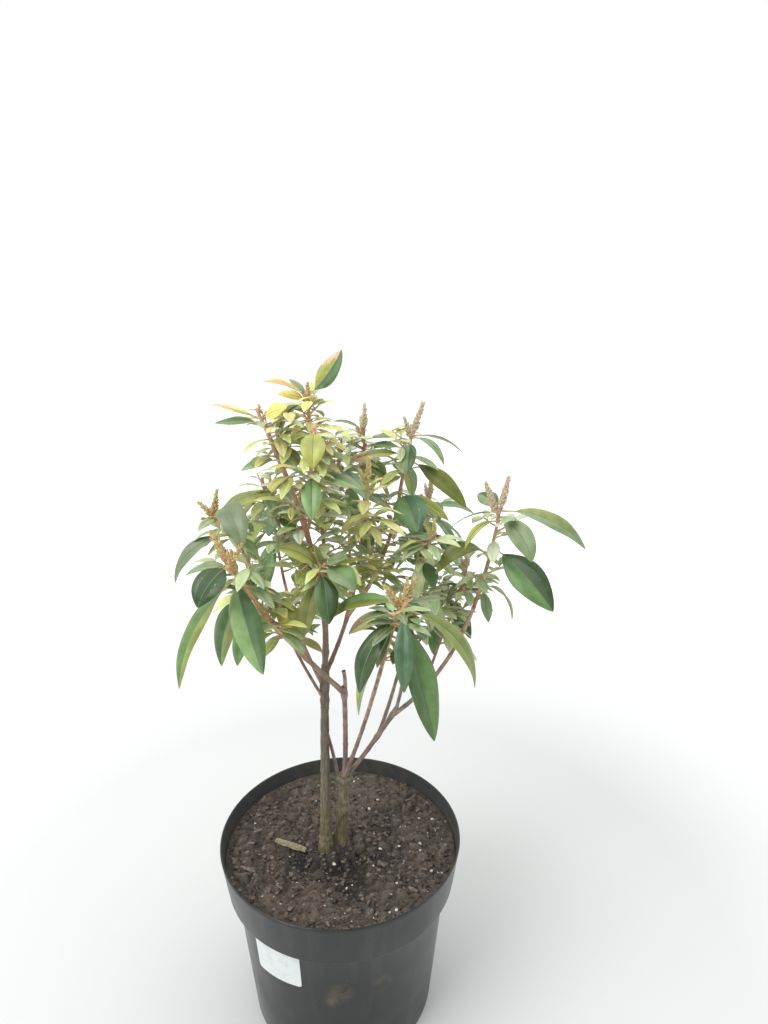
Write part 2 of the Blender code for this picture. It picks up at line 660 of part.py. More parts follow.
class Shoot:
    """One mass of foliage: a stem, its bud spikes and its leaves, in a space of its own."""

    def __init__(self, name, plan, limb):
        self.name = name
        self.plan = plan
        self.random = random.Random(name)
        way = limb.direction(1)
        foot = limb.tip + way * GAP
        tip = Vector(plan["tip"]) * MM
        control = foot + way * (tip - foot).length * 0.45
        self.stem = Limb(foot, control, tip, *SHOOT_RADII)
        self.pieces = [skin(self.stem.rings(SHOOT_SIDES, SHOOT_STEPS))]
        self.leaves = []

    def add_spikes(self, space):
        space.add(self.name, self.pieces[0])
        for k, (heading, rise, length) in enumerate(self.plan["spikes"]):
            root = self.stem.point(SPIKE_TOP - SPIKE_STEP * k)
            shape = skin(spike_rings(root, heading, rise, length * MM))
            self.pieces.append(shape)
            space.add(self.name, shape)

    def add_leaf(self, space, stations, at, heading, rise, droop, length, width, turn):
        """Add the leaf if there is room for it, at the heading or a little beside it."""
        for change in HEADINGS_TRIED:
            root = self.stem.point(at)
            leaf = Leaf(root, stations, heading + change, rise, droop, length, width, turn)
            if not space.is_free(skin(leaf.rings(CLEARANCE)), self.name):
                continue
            blade = skin(leaf.rings(CLEARANCE / 2, blade_only=True))
            if not space.is_free(blade, self.name, own=True):
                continue
            shape = skin(leaf.rings())
            self.pieces.append(shape)
            self.leaves.append(leaf)
            space.add(self.name, shape)
            return True
        return False

    def add_named_leaves(self, space):
        for at, heading, rise, droop, length, width, turn in self.plan["named"]:
            size = (length * MM, width * MM)
            self.add_leaf(space, NAMED_STATIONS, at, heading, rise, droop, *size, turn)

    def add_rule_leaves(self, space):
        """Leaves in a spiral up the stem, the lower ones larger and hanging more."""
        count = self.plan["leaves"]
        low, high = self.plan["rise"]
        start = self.random.uniform(0, 360)
        for k in range(count):
            share = (k + 0.5) / count
            at = FIRST_LEAF + (LAST_LEAF - FIRST_LEAF) * share ** 0.7
            length = self.plan["length"] * MM * (1.1 - 0.35 * share) * self.random.uniform(0.85, 1.1)
            rise = low + (high - low) * share + self.random.uniform(-10, 10)
            droop = self.plan["droop"] * self.random.uniform(0.7, 1.3)
            width = length * WIDTH_SHARE * self.random.uniform(0.8, 1.1)
            turn = self.random.uniform(-20, 20)
            heading = start + GOLDEN_ANGLE * k
            self.add_leaf(space, RULE_STATIONS, at, heading, rise, droop, length, width, turn)


def plan_shoots(limbs):
    """Grow every shoot: stems and spikes first, then named leaves, then the rule's leaves."""
    space = Space()
    for name, limb in limbs.items():
        sides = STEM_SIDES if name.startswith("stem") else LIMB_SIDES
        space.add("limbs", skin(limb.rings(sides, LIMB_STEPS)))
    shoots = [Shoot(name, plan, limbs[plan["limb"]]) for name, plan in SHOOTS.items()]
    for shoot in shoots:
        shoot.add_spikes(space)
    for shoot in shoots:
        shoot.add_named_leaves(space)
    for shoot in shoots:
        shoot.add_rule_leaves(space)
    return shoots


def make_shoots(shoots):
    for shoot in shoots:
        obj = new_object(shoot.name, *shoot.pieces[0])
        combine(obj, shoot.pieces[1:], "UNION", "MANIFOLD")
        keep_largest(obj)
        finish_object(obj, "foliage", 35)


def main():
    clear_scene()
    make_pot()
    make_soil()
    make_label()
    limbs = plan_limbs()
    make_limbs(limbs)
    make_shoots(plan_shoots(limbs))


main()
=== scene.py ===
"""Looks of the potted mountain laurel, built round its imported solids.

The limbs and shoots grow by the rule that shaped the solids, carried on to veined leaves,
side twigs, bud scales and bark relief. Metres, Z up, -Y faces the viewer. The tables of
limbs and shoots are in millimetres and degrees.
"""

import math
import random

import bpy
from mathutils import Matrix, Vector, noise
from mathutils.bvhtree import BVHTree

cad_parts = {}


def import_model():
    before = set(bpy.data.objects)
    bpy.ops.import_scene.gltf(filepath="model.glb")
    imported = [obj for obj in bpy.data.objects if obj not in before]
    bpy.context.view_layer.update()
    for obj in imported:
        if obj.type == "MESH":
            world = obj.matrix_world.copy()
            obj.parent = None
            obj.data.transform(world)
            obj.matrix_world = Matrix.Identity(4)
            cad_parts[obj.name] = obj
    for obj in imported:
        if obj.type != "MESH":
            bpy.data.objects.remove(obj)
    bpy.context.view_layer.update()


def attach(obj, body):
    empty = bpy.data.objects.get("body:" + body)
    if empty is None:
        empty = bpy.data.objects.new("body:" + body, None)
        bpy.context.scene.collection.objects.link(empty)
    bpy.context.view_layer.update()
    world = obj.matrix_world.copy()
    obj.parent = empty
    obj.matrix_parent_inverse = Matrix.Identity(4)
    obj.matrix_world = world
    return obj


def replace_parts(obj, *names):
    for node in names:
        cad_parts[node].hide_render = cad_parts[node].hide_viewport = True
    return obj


MM = 0.001
GAP = 0.3 * MM

# Camera, as the photograph was taken
CAMERA_PLACE = (0.0377, -0.5127, 0.6065)
CAMERA_TILT = 73.75
CAMERA_LENS = 24.61
SENSOR = 36.0

# Pot
POT_HEIGHT = 166 * MM
RIM_RADIUS = 104 * MM
BAND_FOOT_RADIUS = 99 * MM
BAND_FOOT = 128 * MM
SHOULDER = 5 * MM
BODY_TOP_RADIUS = 92.3 * MM
BASE_RADIUS = 80.5 * MM
WALL = 1.6 * MM
FLOOR = 2 * MM
BEVEL = 1.2 * MM
POT_SEGMENTS = 160
DRAIN_HOLES = 6
DRAIN_RADIUS = 6 * MM
DRAIN_RING = 56 * MM
DRAIN_SEGMENTS = 28

# Soil: its top and its fine mesh
SOIL_TOP = 152 * MM
SOIL_SEGMENTS = 360
SOIL_RINGS = 110

# The soil's relief: the depth of each kind and how closely it repeats. The broad bumps end
# round the stems, and everything is level at their feet. Loose bits keep clear of the feet
# and, by a share of the radius, of the wall.
BUMPS = (3 * MM, 38)
CLODS = (3.4 * MM, 95)
CRUMBLE = (1.6 * MM, 230)
GRAINS = (0.5 * MM, 430)
LEVEL_ROUND_STEMS = 24 * MM
STEM_CLEARANCE = 8 * MM
EDGE_CLEARANCE = 0.98

# Hollows in the soil: place, reach and depth in millimetres
HOLLOWS = ((6, -33, 15, 5), (-30, -22, 11, 4), (32, -14, 9, 3))

# Crumbs of peat: how many, the smallest, how much the largest exceed it, and how rare they are
CRUMBS = 3000
CRUMB_SIZE = 0.9
CRUMB_RANGE = 3.8
CRUMB_RARITY = 2.4

# Perlite and root fibres, in millimetres and degrees
PERLITE_GRAINS = 80
SMALL_GRAINS = (0.8, 1.5)
LARGE_GRAINS = (1.9, 3.3)
SMALL_SHARE = 0.7
FIBRES = 190
FIBRE_LENGTH = (4, 15)
FIBRE_RADIUS = (0.12, 0.32)
FIBRE_BEND = 28
FIBRE_STEPS = 7
FIBRE_LIFT = 0.25

# Chips and scraps of bark, in millimetres and degrees. The pale chip has two ends, a width and
# a thickness, and the other chips each have a foot, a heading and a length.
PALE_CHIP = ((-58, 2), (-30, -10), 6.6, 3.4)
BARK_CHIPS = ((-80, 12, 20, 8), (33, -22, -50, 9), (58, -50, -38, 9), (-70, -34, 160, 14))
BARK_CHIP_WIDTH = 3.2 * MM
BARK_CHIP_THICKNESS = 1.6 * MM
CHIP_STEPS = 7
CHIP_LIFT = 1.2 * MM
SCRAPS = 46
SCRAP_LENGTH = (2.5, 7)
SCRAP_WIDTH = (1.2, 2.8)
SCRAP_THICKNESS = (0.6, 1.2)

# Label on the pot's body, at the front left
LABEL_FROM = -137
LABEL_TO = -108
LABEL_MIDDLE = 103 * MM
LABEL_HEIGHT = 34 * MM
LABEL_TILT = 5 * MM
LABEL_THICKNESS = 0.2 * MM
LABEL_CORNER = 2.5 * MM
LABEL_LIFT = 0.15 * MM
LABEL_STEPS = 40

# Stems: where each foot stands on the soil, and how much wider the root flare makes it
FEET = {"stem_left": (-13, -5), "stem_right": (0, 3)}
FLARE = 2.2 * MM
FLARE_HEIGHT = 14 * MM

# Limbs: parent, how far up the parent the limb springs, tip, how far its middle bends off
# the straight line, and the radius at foot and tip. The sides and steps after the table are
# those of the plain limbs, which keep their room free.
LIMBS = {
    "stem_left": (None, 0, (-10, -5, 330), (0.3, 0, 0), 4.4, 2.9),
    "stem_right": (None, 0, (4, -5, 226), (1, 0, 0), 4.4, 4.1),
    "bough_tall": ("stem_left", 1, (-35, -27, 500), (5, 2, 0), 2.9, 2.0),
    "bough_top": ("bough_tall", 0.08, (-15, 9, 492), (3, 4, 0), 2.1, 1.5),
    "bough_back": ("stem_left", 0.95, (21, 58, 455), (7, 10, -10), 2.2, 1.5),
    "bough_upper_right": ("bough_back", 0.35, (50, 30, 462), (6, -3, -4), 2.0, 1.5),
    "bough_cross": ("stem_right", 0.5, (-8.6, 0, 258), (1, 1, 0), 2.3, 1.5),
    "bough_middle": ("stem_right", 1, (6, -20, 319), (1, 2, 0), 2.4, 2.2),
    "cut_stub": ("bough_middle", 0.93, (6, -20, 333), (1, 0, 0), 1.7, 1.3),
    "bough_left": ("bough_middle", 0.95, (-44, -54, 393), (-3, -2, 2), 2.4, 1.8),
    "bough_upper_left": ("bough_left", 0.48, (-66, -31, 437), (-2, 1, 2), 1.8, 1.4),
    "bough_right": ("stem_right", 0.94, (48, 2, 286), (1, 0, -1), 2.2, 2.3),
    "bough_mid_right": ("bough_right", 1, (66, 2, 408), (-14, -2, 2), 1.8, 1.2),
    "bough_right_outer": ("bough_right", 0.9, (115, 16, 384), (7, -1, -9), 2.1, 1.8),
    "bough_inner_right": ("bough_right_outer", 0.3, (99, 27, 374), (-2, 2, -4), 1.4, 1.1),
    "bough_front": ("stem_right", 0.97, (40, -62, 376), (0.5, 0, -5), 2.0, 1.7),
    "bough_inner_left": ("stem_left", 0.82, (-39, -27, 376), (0, 0, -3), 1.5, 1.2),
    "bough_centre_top": ("bough_tall", 0.72, (-13, -36, 492), (2, -2, -3), 1.5, 1.2),
    "bough_centre": ("bough_tall", 0.38, (-9, -38, 418), (2, -2, -3), 1.5, 1.2),
    "bough_mid_left": ("bough_tall", 0.5, (-44, -4, 452), (-2, 2, -3), 1.4, 1.2),
    "bough_mid_back": ("bough_top", 0.7, (-2, 24, 470), (0, 2, -4), 1.4, 1.2),
    "bough_young": ("bough_upper_right", 0.25, (27, -4, 425), (3, -4, -4), 1.4, 1.2),
    "bough_rear_right": ("bough_right", 0.62, (70, 78, 398), (4, 6, -12), 1.9, 1.4),
    "bough_low_right": ("bough_rear_right", 0.45, (84, 62, 345), (2, 4, -5), 1.4, 1.1),
    "bough_rear_left": ("stem_left", 0.88, (-55, 70, 398), (-5, 8, -10), 1.9, 1.4),
    "bough_low_left": ("bough_rear_left", 0.5, (-66, 44, 352), (-3, 0, -4), 1.4, 1.1),
    "bough_rear": ("bough_back", 0.4, (6, 92, 422), (0, 8, -8), 1.6, 1.3),
}
STEM_SIDES = 10
LIMB_SIDES = 6
LIMB_STEPS = 5

# Shoots: the limb each one carries on, the tip of its stem, how many leaves the rule adds,
# their length, the rise of the lowest and the highest leaf and their droop. The spikes of
# flower buds near the tip have a heading, rise and length each. The named leaves are the
# large ones that make the crown's outline: place along the stem, heading, rise, droop,
# length, width, turn about the midrib and tone. The twig, the buds and the tones are the
# finishes of the rest.
# A tone with a stroke is the half to the leaf's left, the half to its right, then the tip. A soft or bright
# half beside a darker green one is painted light, a painted sheen on the half that faces the light.
SHOOTS = {
    "foliage_right": dict(
        limb="bough_right_outer", tip=(128, 10, 457), leaves=3, length=34, rise=(-25, 25), droop=40,
        spikes=((0, 78, 30), (180, 68, 32)),
        twig="rosy", buds="tan", tones=("mid", "deep", "soft"),
        named=((0.97, -15, 10, 62, 75, 17, 25, "fresh/soft/soft"),
               (0.88, -56, 8, 80, 49, 18, 30, "soft"), (0.58, -46, -20, 25, 71, 26, 40, "dark/mid"),
               (0.96, 140, 36, 40, 31, 15, -25, "soft/deep"), (0.96, -165, 12, 50, 43, 5, 30, "soft"),
               (0.86, -141, 20, 85, 43, 6, -20, "lime"), (0.42, -156, 54, 98, 76, 14, -25, "moss"),
               (0.1, 25, -12, 75, 53, 13, 15, "soft/olive"), (0.08, -70, -45, 30, 30, 10, 0, "soft")),
    ),
    "foliage_upper_right": dict(
        limb="bough_upper_right", tip=(60, 30, 512), leaves=3, length=30, rise=(-25, 30), droop=45,
        spikes=((0, 72, 29), (180, 74, 20)),
        twig="rosy", buds="tan", tones=("deep", "mid", "fresh"),
        named=((0.97, 0, 9, 55, 44, 6, 10, "deep/soft"), (0.94, -42, 15, 85, 40, 7, 15, "soft"),
               (0.62, -15, -22, 30, 62, 17, 35, "moss"), (0.9, -98, -15, 50, 34, 13, 10, "deep/soft"),
               (0.6, -73, -40, 40, 31, 11, 0, "soft/olive"),
               (0.05, -72, -5, 45, 47, 26, 20, "teal/mid"), (0.05, -8, -14, 30, 46, 13, 25, "lime"),
               (0.68, -167, 15, 40, 50, 11, -25, "lime/fresh/blush")),
    ),
    "foliage_back_top": dict(
        limb="bough_back", tip=(21, 60, 510), leaves=8, length=34, rise=(-20, 35), droop=45,
        spikes=((0, 88, 24), (110, 60, 19), (230, 56, 18)),
        twig="red", buds="tan", tones=("soft", "mid", "teal"),
        named=((0.98, -165, 45, 50, 28, 7, -15, "soft/mid"), (0.85, 0, 25, 40, 28, 8, 15, "soft/mid"),
               (0.7, 165, 38, 30, 26, 9, -15, "teal/soft"), (0.75, -10, 22, 40, 30, 10, 20, "mid"),
               (0.6, -42, -5, 40, 28, 10, 20, "lime/mid")),
    ),
    "foliage_top": dict(
        limb="bough_top", tip=(-18, 0, 546), leaves=6, length=24, rise=(5, 55), droop=40,
        spikes=((0, 88, 11), (150, 55, 9)),
        twig="orange", buds="orange", tones=("yellow", "lime", "olive", "fresh"),
        named=((0.98, 0, 40, -25, 42, 17, 55, "lime/deep/blush/left"),
               (0.9, -150, 0, 100, 42, 11, 60, "deep/mid"),
               (0.95, -150, 48, 50, 37, 7, -30, "blush/yellow"),
               (0.9, -172, 36, 40, 23, 12, -25, "yellow"), (0.98, 150, 45, 20, 20, 6, -20, "soft"),
               (0.45, -10, 70, 10, 20, 9, 0, "olive"), (0.4, -160, 66, 10, 22, 9, 0, "yellow/olive")),
    ),
    "foliage_top_left": dict(
        limb="bough_tall", tip=(-49, -30, 537), leaves=6, length=26, rise=(0, 40), droop=45,
        spikes=((0, 88, 7),),
        twig="rosy", buds="orange", tones=("olive", "mid", "fresh", "deep"),
        named=((0.9, -10, 34, 20, 21, 13, 45, "yellow"),
               (0.9, 175, 21, 10, 35, 6, -20, "lime/yellow/blush"),
               (0.84, 172, 5, 15, 35, 10, -25, "soft/mid"),
               (0.1, 165, -5, 25, 32, 14, -25, "bright/soft"), (0.35, -20, 2, 60, 24, 10, 25, "olive")),
    ),
    "foliage_centre_top": dict(
        limb="bough_centre_top", tip=(-10, -36, 527), leaves=5, length=26, rise=(-10, 35), droop=45,
        spikes=(), twig="orange", buds="orange", tones=("olive", "fresh", "mid"),
        named=((0.95, -88, -5, 70, 34, 17, 0, "lime"), (0.1, -85, -15, 65, 38, 14, 0, "bright"),
               (0.05, -20, 8, 35, 38, 13, 20, "soft/bright"),
               (0.5, -15, 15, 35, 28, 8, 20, "olive/soft"), (0.9, -170, 5, 50, 24, 9, -15, "olive")),
    ),
    "foliage_upper_left": dict(
        limb="bough_upper_left", tip=(-86, -30, 464), leaves=4, length=28, rise=(-15, 20), droop=45,
        spikes=((0, 78, 21), (180, 45, 18), (210, 15, 13)),
        twig="orange", buds="orange", tones=("mid", "fresh", "deep"),
        named=((0.97, 13, 38, 40, 48, 12, 25, "fresh/olive/lime"),
               (0.88, -56, 58, 142, 60, 19, 25, "sage"), (0.42, -170, 3, 85, 60, 13, -30, "sage")),
    ),
    "foliage_left": dict(
        limb="bough_left", tip=(-66, -70, 442), leaves=3, length=32, rise=(-40, 10), droop=45,
        spikes=((0, 62, 18), (180, 84, 15), (250, 40, 13), (180, 62, 40)),
        twig="orange", buds="orange", tones=("deep", "mid"),
        named=((0.9, -56, -72, -30, 74, 20, 20, "deep/bright"),
               (0.8, -160, -35, 50, 93, 15, -30, "fresh/mid"),
               (0.97, -128, -8, 55, 38, 23, -15, "dark"), (0.95, 178, 10, 45, 34, 9, -20, "soft"),
               (0.55, 160, -45, 45, 70, 19, -75, "fresh/deep"),
               (0.7, 170, -60, 30, 36, 9, -60, "fresh")),
    ),
    "foliage_inner_left": dict(
        limb="bough_inner_left", tip=(-41, -34, 402), leaves=5, length=26, rise=(-30, 15), droop=40,
        spikes=(), twig="red", buds="orange", tones=("fresh", "olive", "mid"),
        named=((0.9, -75, -12, 55, 38, 20, 0, "lime/yellow"),),
    ),
    "foliage_centre": dict(
        limb="bough_centre", tip=(-5, -46, 431), leaves=3, length=28, rise=(-35, 20), droop=45,
        spikes=(), twig="red", buds="orange", tones=("deep", "mid", "fresh"),
        named=((0.9, -40, 10, 55, 34, 18, 15, "mid/soft"),
               (0.75, -75, -30, 40, 42, 17, 0, "dark/deep"),
               (0.3, -150, -52, 30, 48, 13, -40, "olive"),
               (0.6, 178, 58, 60, 37, 13, -35, "lime/olive"), (0.9, -20, 45, 40, 22, 13, 20, "soft"),
               (0.8, 150, 75, 10, 18, 8, 0, "fresh")),
    ),
    "foliage_front": dict(
        limb="bough_front", tip=(53, -80, 418), leaves=3, length=30, rise=(-45, 10), droop=45,
        spikes=((0, 88, 19), (0, 69, 24), (180, 55, 23), (90, 60, 14), (270, 48, 13)),
        twig="orange", buds="orange", tones=("shade", "deep"),
        named=((0.8, -53, -60, 12, 90, 24, 0, "mid/deep"), (0.88, -90, -35, 50, 58, 13, 0, "teal"),
               (0.84, 9, -15, 72, 90, 17, 32, "fresh"), (0.76, -145, -25, 62, 64, 17, -15, "dark"),
               (0.7, 160, -50, 40, 92, 14, -50, "soft/lime"),
               (0.9, 150, 10, 65, 72, 14, -30, "moss/mid"),
               (0.9, 62, -10, 60, 62, 17, 20, "deep/teal"),
               (0.75, 170, -5, 45, 42, 10, -60, "olive/rust")),
    ),
    "foliage_inner_right": dict(
        limb="bough_inner_right", tip=(107, 40, 395), leaves=7, length=34, rise=(-35, 20), droop=45,
        spikes=((0, 88, 22), (120, 60, 15), (240, 55, 13)),
        twig="red", buds="tan", tones=("shade", "mid", "teal"), named=(),
    ),
    "foliage_young": dict(
        limb="bough_young", tip=(26, -10, 485), leaves=10, length=30, rise=(-20, 50), droop=45,
        spikes=((0, 88, 20), (190, 66, 17), (10, 58, 15)),
        twig="green", buds="green", tones=("lime", "fresh", "olive"), named=(),
    ),
    "foliage_mid_left": dict(
        limb="bough_mid_left", tip=(-54, 2, 480), leaves=7, length=34, rise=(-30, 30), droop=45,
        spikes=(), twig="red", buds="orange", tones=("mid", "fresh", "soft", "teal"),
        named=((0.8, -140, -20, 40, 26, 10, 0, "olive"), (0.05, -15, 5, 50, 24, 9, 20, "fresh/mid")),
    ),
    "foliage_mid_back": dict(
        limb="bough_mid_back", tip=(4, 30, 504), leaves=9, length=36, rise=(-30, 30), droop=45,
        spikes=(), twig="red", buds="orange", tones=("teal", "mid", "soft", "fresh"), named=(),
    ),
    "foliage_mid_right": dict(
        limb="bough_mid_right", tip=(76, -6, 440), leaves=7, length=36, rise=(-35, 25), droop=45,
        spikes=((0, 88, 15), (150, 60, 12)),
        twig="red", buds="green", tones=("deep", "mid", "fresh", "shade"),
        named=((0.95, 180, 20, 40, 24, 9, -10, "soft"), (0.05, -5, -38, 30, 52, 9, 20, "fresh/olive"),
               (0.35, -60, -30, 40, 26, 13, 0, "deep")),
    ),
    "foliage_rear_right": dict(
        limb="bough_rear_right", tip=(79, 90, 445), leaves=12, length=56, rise=(-35, 25), droop=50,
        spikes=((0, 88, 22), (110, 58, 19), (230, 52, 18)),
        twig="rosy", buds="tan", tones=("deep/mid", "mid", "mid/soft", "teal"), named=(),
    ),
    "foliage_low_right": dict(
        limb="bough_low_right", tip=(92, 72, 370), leaves=7, length=50, rise=(-40, 15), droop=45,
        spikes=(), twig="red", buds="tan", tones=("deep", "mid", "fresh"), named=(),
    ),
    "foliage_rear_left": dict(
        limb="bough_rear_left", tip=(-64, 90, 445), leaves=12, length=56, rise=(-35, 25), droop=50,
        spikes=((0, 88, 22), (60, 56, 19), (200, 54, 18)),
        twig="rosy", buds="orange", tones=("mid", "deep", "teal", "fresh"), named=(),
    ),
    "foliage_low_left": dict(
        limb="bough_low_left", tip=(-78, 50, 376), leaves=7, length=48, rise=(-40, 15), droop=45,
        spikes=(), twig="red", buds="orange", tones=("deep", "mid", "fresh"), named=(),
    ),
    "foliage_rear": dict(
        limb="bough_rear", tip=(6, 105, 470), leaves=11, length=54, rise=(-30, 30), droop=50,
        spikes=((0, 88, 22), (70, 56, 19), (200, 56, 17)),
        twig="orange", buds="tan", tones=("mid", "deep", "fresh", "soft"), named=(),
    ),
}
SHOOT_SIDES = 5
SHOOT_STEPS = 4
SHOOT_RADII = (1.4 * MM, 1.1 * MM)
GOLDEN_ANGLE = 137.5
FIRST_LEAF = 0.3
LAST_LEAF = 0.9
WIDTH_SHARE = 0.33
HEADINGS_TRIED = (0, 22, -22, 45, -45, 70, -70)

# How far the middle of the crown reaches, in millimetres, and the length from which a leaf of the rule is
# as dark as the named ones: longer leaves stand out in the light and take no painted light, shorter ones
# take the lighter tones painted against the shade inside the crown
CROWN_MIDDLE = 45
OUTER_LENGTH = 44 * MM

# Leaves: a petiole and a folded blade, thickest along the midrib
PETIOLE_SHARE = 0.16
PETIOLE_WIDTH = 1.6 * MM
LEAF_THICKNESS = 1.3 * MM
LEAF_FOLD = 0.22
NAMED_STATIONS = (0.28, 0.55, 0.8)
RULE_STATIONS = (0.33, 0.7)
CLEARANCE = 0.6 * MM

# The fine leaf: its rings along the blade, the lengths from which blade and petiole are at
# their thickest, its skin, its veins, how its halves bulge, how full its ends are, and where
# the tone of its tip begins, from the margin inwards
FINE_RINGS = {"named": 36, "rule": 22, "small": 12}
THICK_BLADE_LENGTH = 45 * MM
THICK_PETIOLE_LENGTH = 32 * MM
PETIOLE_SIDES = 6
PETIOLE_STEPS = 4
BLADE_SKIN = 0.35 * MM
MIDRIB = 0.5 * MM
MIDRIB_KEEL = 0.5 * MM
VEINS = 7
VEIN_SLANT = 1.1
VEIN_DEPTH = 0.012
HALF_BULGE = 0.16
FULLNESS = 0.8
MARGIN_WAVE = 0.09
TIP_TONE_FROM = (0.46, 0.62, 0.76)

# Flower bud spikes: radius along the spike, as a share of its length, and the scales on
# their axis, which lean out by degrees at the foot, less towards the tip
SPIKE_SIDES = 4
SPIKE_PROFILE = ((0.0, 0.05), (0.3, 0.07), (0.5, 0.15), (0.75, 0.12))
SPIKE_TOP = 0.97
SPIKE_STEP = 0.07
SCALE_EVERY = 0.62 * MM
SCALE_LEAN = 46
SCALE_LEAN_LOST = 26
SCALE_LEAN_SPREAD = 9
AXIS_RADII = (0.9 * MM, 0.35 * MM)
SPINDLE_PROFILE = ((0, 0.35), (0.22, 0.85), (0.5, 1.0), (0.78, 0.6))

# Leaf buds, length and radius: at a shoot's tip and over each of its larger leaves
TIP_BUD = (5 * MM, 1.3 * MM)
AXIL_BUD = (2.4 * MM, 0.75 * MM)
AXIL_OFFSET = 1.2 * MM

# Side twigs: how many a shoot tries, from where on its stem and over how much of it, their
# length, rise and radii, the part of one that has to be free, and the small leaves it bears
SIDE_TWIGS = 12
SIDE_TWIGS_FROM = 0.15
SIDE_TWIGS_SPAN = 0.75
SIDE_TWIG_LENGTH = (8, 20)
SIDE_TWIG_RISE = (5, 50)
SIDE_TWIG_RADII = (0.75 * MM, 0.5 * MM)
SIDE_TWIG_SAG = 0.1
FREE_PART = (0.4, 0.6)
FREE_RADII = (0.9 * MM, 0.8 * MM)
SIDE_LEAVES = 5
SIDE_LEAF_LENGTH = (14, 30)
SIDE_LEAF_RISE = (-10, 45)
SIDE_LEAF_DROOP = 45

# Sprays of twigs on the upper part of a limb: where they begin, how many it tries, their bark
# and the tones of their leaves. They all end at the same share of the limb.
SPRAY_END = 0.97
SPRAYS = {
    "bough_front": (0.86, 6, "orange", ("shade", "deep", "mid", "fresh")),
    "bough_young": (0.35, 10, "green", ("fresh", "olive", "mid", "lime")),
    "bough_upper_right": (0.3, 9, "rosy", ("mid", "olive", "deep", "soft")),
    "bough_back": (0.45, 10, "red", ("mid", "soft", "fresh", "teal")),
    "bough_tall": (0.3, 18, "orange", ("mid", "fresh", "olive", "soft")),
    "bough_top": (0.35, 12, "orange", ("fresh", "olive", "mid", "lime")),
    "bough_left": (0.8, 4, "orange", ("mid", "olive", "fresh", "deep")),
    "bough_upper_left": (0.3, 6, "orange", ("mid", "fresh", "soft")),
    "bough_inner_left": (0.7, 3, "rosy", ("fresh", "olive", "mid")),
    "bough_centre": (0.3, 9, "rosy", ("mid", "fresh", "soft", "soft")),
    "bough_centre_top": (0.3, 6, "rosy", ("fresh", "olive", "soft")),
    "bough_mid_left": (0.3, 11, "rosy", ("mid", "fresh", "soft")),
    "bough_mid_back": (0.2, 7, "red", ("mid", "soft", "fresh")),
    "bough_mid_right": (0.6, 6, "red", ("mid", "soft", "deep")),
    "bough_inner_right": (0.5, 7, "red", ("mid", "teal", "soft")),
    "bough_rear": (0.4, 9, "red", ("mid", "deep", "fresh")),
    "bough_rear_left": (0.45, 9, "red", ("mid", "deep", "fresh")),
    "bough_rear_right": (0.55, 8, "red", ("mid", "deep", "olive")),
}

# Gaps in the crown where the photograph shows the white wall: column, row and radius in
# its pixels. No small leaf and no side twig grows in front of or behind them.
PHOTO_SIZE = (768, 1024)
SKY_GAPS = {
    "right of the top shoot": (344, 401, 10),
    "left of the top left shoot": (250, 438, 13),
    "under the upper right shoot": (425, 452, 12),
    "left of the mossy leaf": (428, 487, 11),
    "under the mossy leaf": (458, 517, 13),
    "under the olive leaf": (446, 531, 10),
    "inside the lime arc": (482, 538, 12),
    "left of the upper right bough": (390, 472, 7),
    "right of the soft top leaf": (355, 493, 6),
    "right of the tall bough, high up": (296, 457, 6),
    "under the lime arc": (478, 562, 9),
    "behind the right stem": (506, 542, 7),
    "right of the right leaves": (548, 551, 12),
    "left of the tall bough": (265, 535, 8),
    "over the fresh leaf": (288, 538, 5),
    "under the fresh leaf": (282, 580, 13),
    "right of the tall bough": (337, 548, 7),
    "behind the soft leaf": (309, 534, 5),
    "over the front leaves": (344, 650, 14),
    "right of the stub": (385, 672, 8),
    "over the big front leaf": (440, 645, 7),
    "left of the big front leaf": (372, 718, 10),
    "right of the boughs": (401, 735, 18),
    "under the left bough": (285, 668, 20),
    "left of the stems": (302, 700, 16),
    "over the left shoots": (227, 486, 7),
}

# Bark: rings along a limb and their sides, the depth of its relief as a share of the radius,
# and its ridges and cracks: how often they repeat round the limb and along it, and their shift
RING_PITCH = 1.3 * MM
STEM_FINE_SIDES = 28
BOUGH_FINE_SIDES = 14
SHOOT_FINE_SIDES = 10
TWIG_FINE_SIDES = 6
STEM_RELIEF = 0.13
BOUGH_RELIEF = 0.1
SHOOT_RELIEF = 0.08
TWIG_RELIEF = 0.05
RIDGES = (2.2, 45, 900)
CRACKS = (5, 190, 700)

# The swelling where a limb springs or a leaf once grew, how far limbs run into each other, how
# slim a bough is drawn beside its solid, and the bough whose tip grows into the stem it meets
COLLAR = 0.7 * MM
TWIG_COLLAR = 0.4 * MM
COLLAR_LENGTH = 4 * MM
FORK_SWELLING = (0.3, 4 * MM)
CUT_SWELLING = (0.25, 3 * MM)
NODE_SPACING = (11, 26)
NODES_END = 4 * MM
OVERLAP = 1.2 * MM
FOOT_SUNK = 1.5 * MM
BOUGH_SHARE = 0.87
GROWN_IN = {"bough_cross": 4 * MM}

# Stage: the floor's size, the surround from the viewer's side to the far one, and the lights'
# place, turn in degrees, size and power
FLOOR_SIZE = 8.0
SURROUND = ((0.42, 0.44, 0.47, 1), (1, 1, 1, 1))
SURROUND_TURNS = (-0.75, 0.1)
LIGHTS = {
    "soft_key": ((-1.1, -0.9, 1.7), (38, 0, -48), 1.2, 26),
    "soft_top": ((0.3, 0.2, 2.2), (0, 0, 0), 2.0, 20),
}


class Wire:
    """A shader output that adds Math nodes when it is used in an expression."""

    def __init__(self, nodes, socket):
        self.nodes = nodes
        self.socket = socket

    def math(self, operation, first, second):
        return self.nodes.node("ShaderNodeMath", {"operation": operation}, {0: first, 1: second})

    def __add__(self, other):
        return self.math("ADD", self, other)

    def __radd__(self, other):
        return self.math("ADD", other, self)

    def __mul__(self, other):
        return self.math("MULTIPLY", self, other)

    def __rmul__(self, other):
        return self.math("MULTIPLY", other, self)

    def __or__(self, other):
        """The larger of two masks."""
        return self.math("MAXIMUM", self, other)


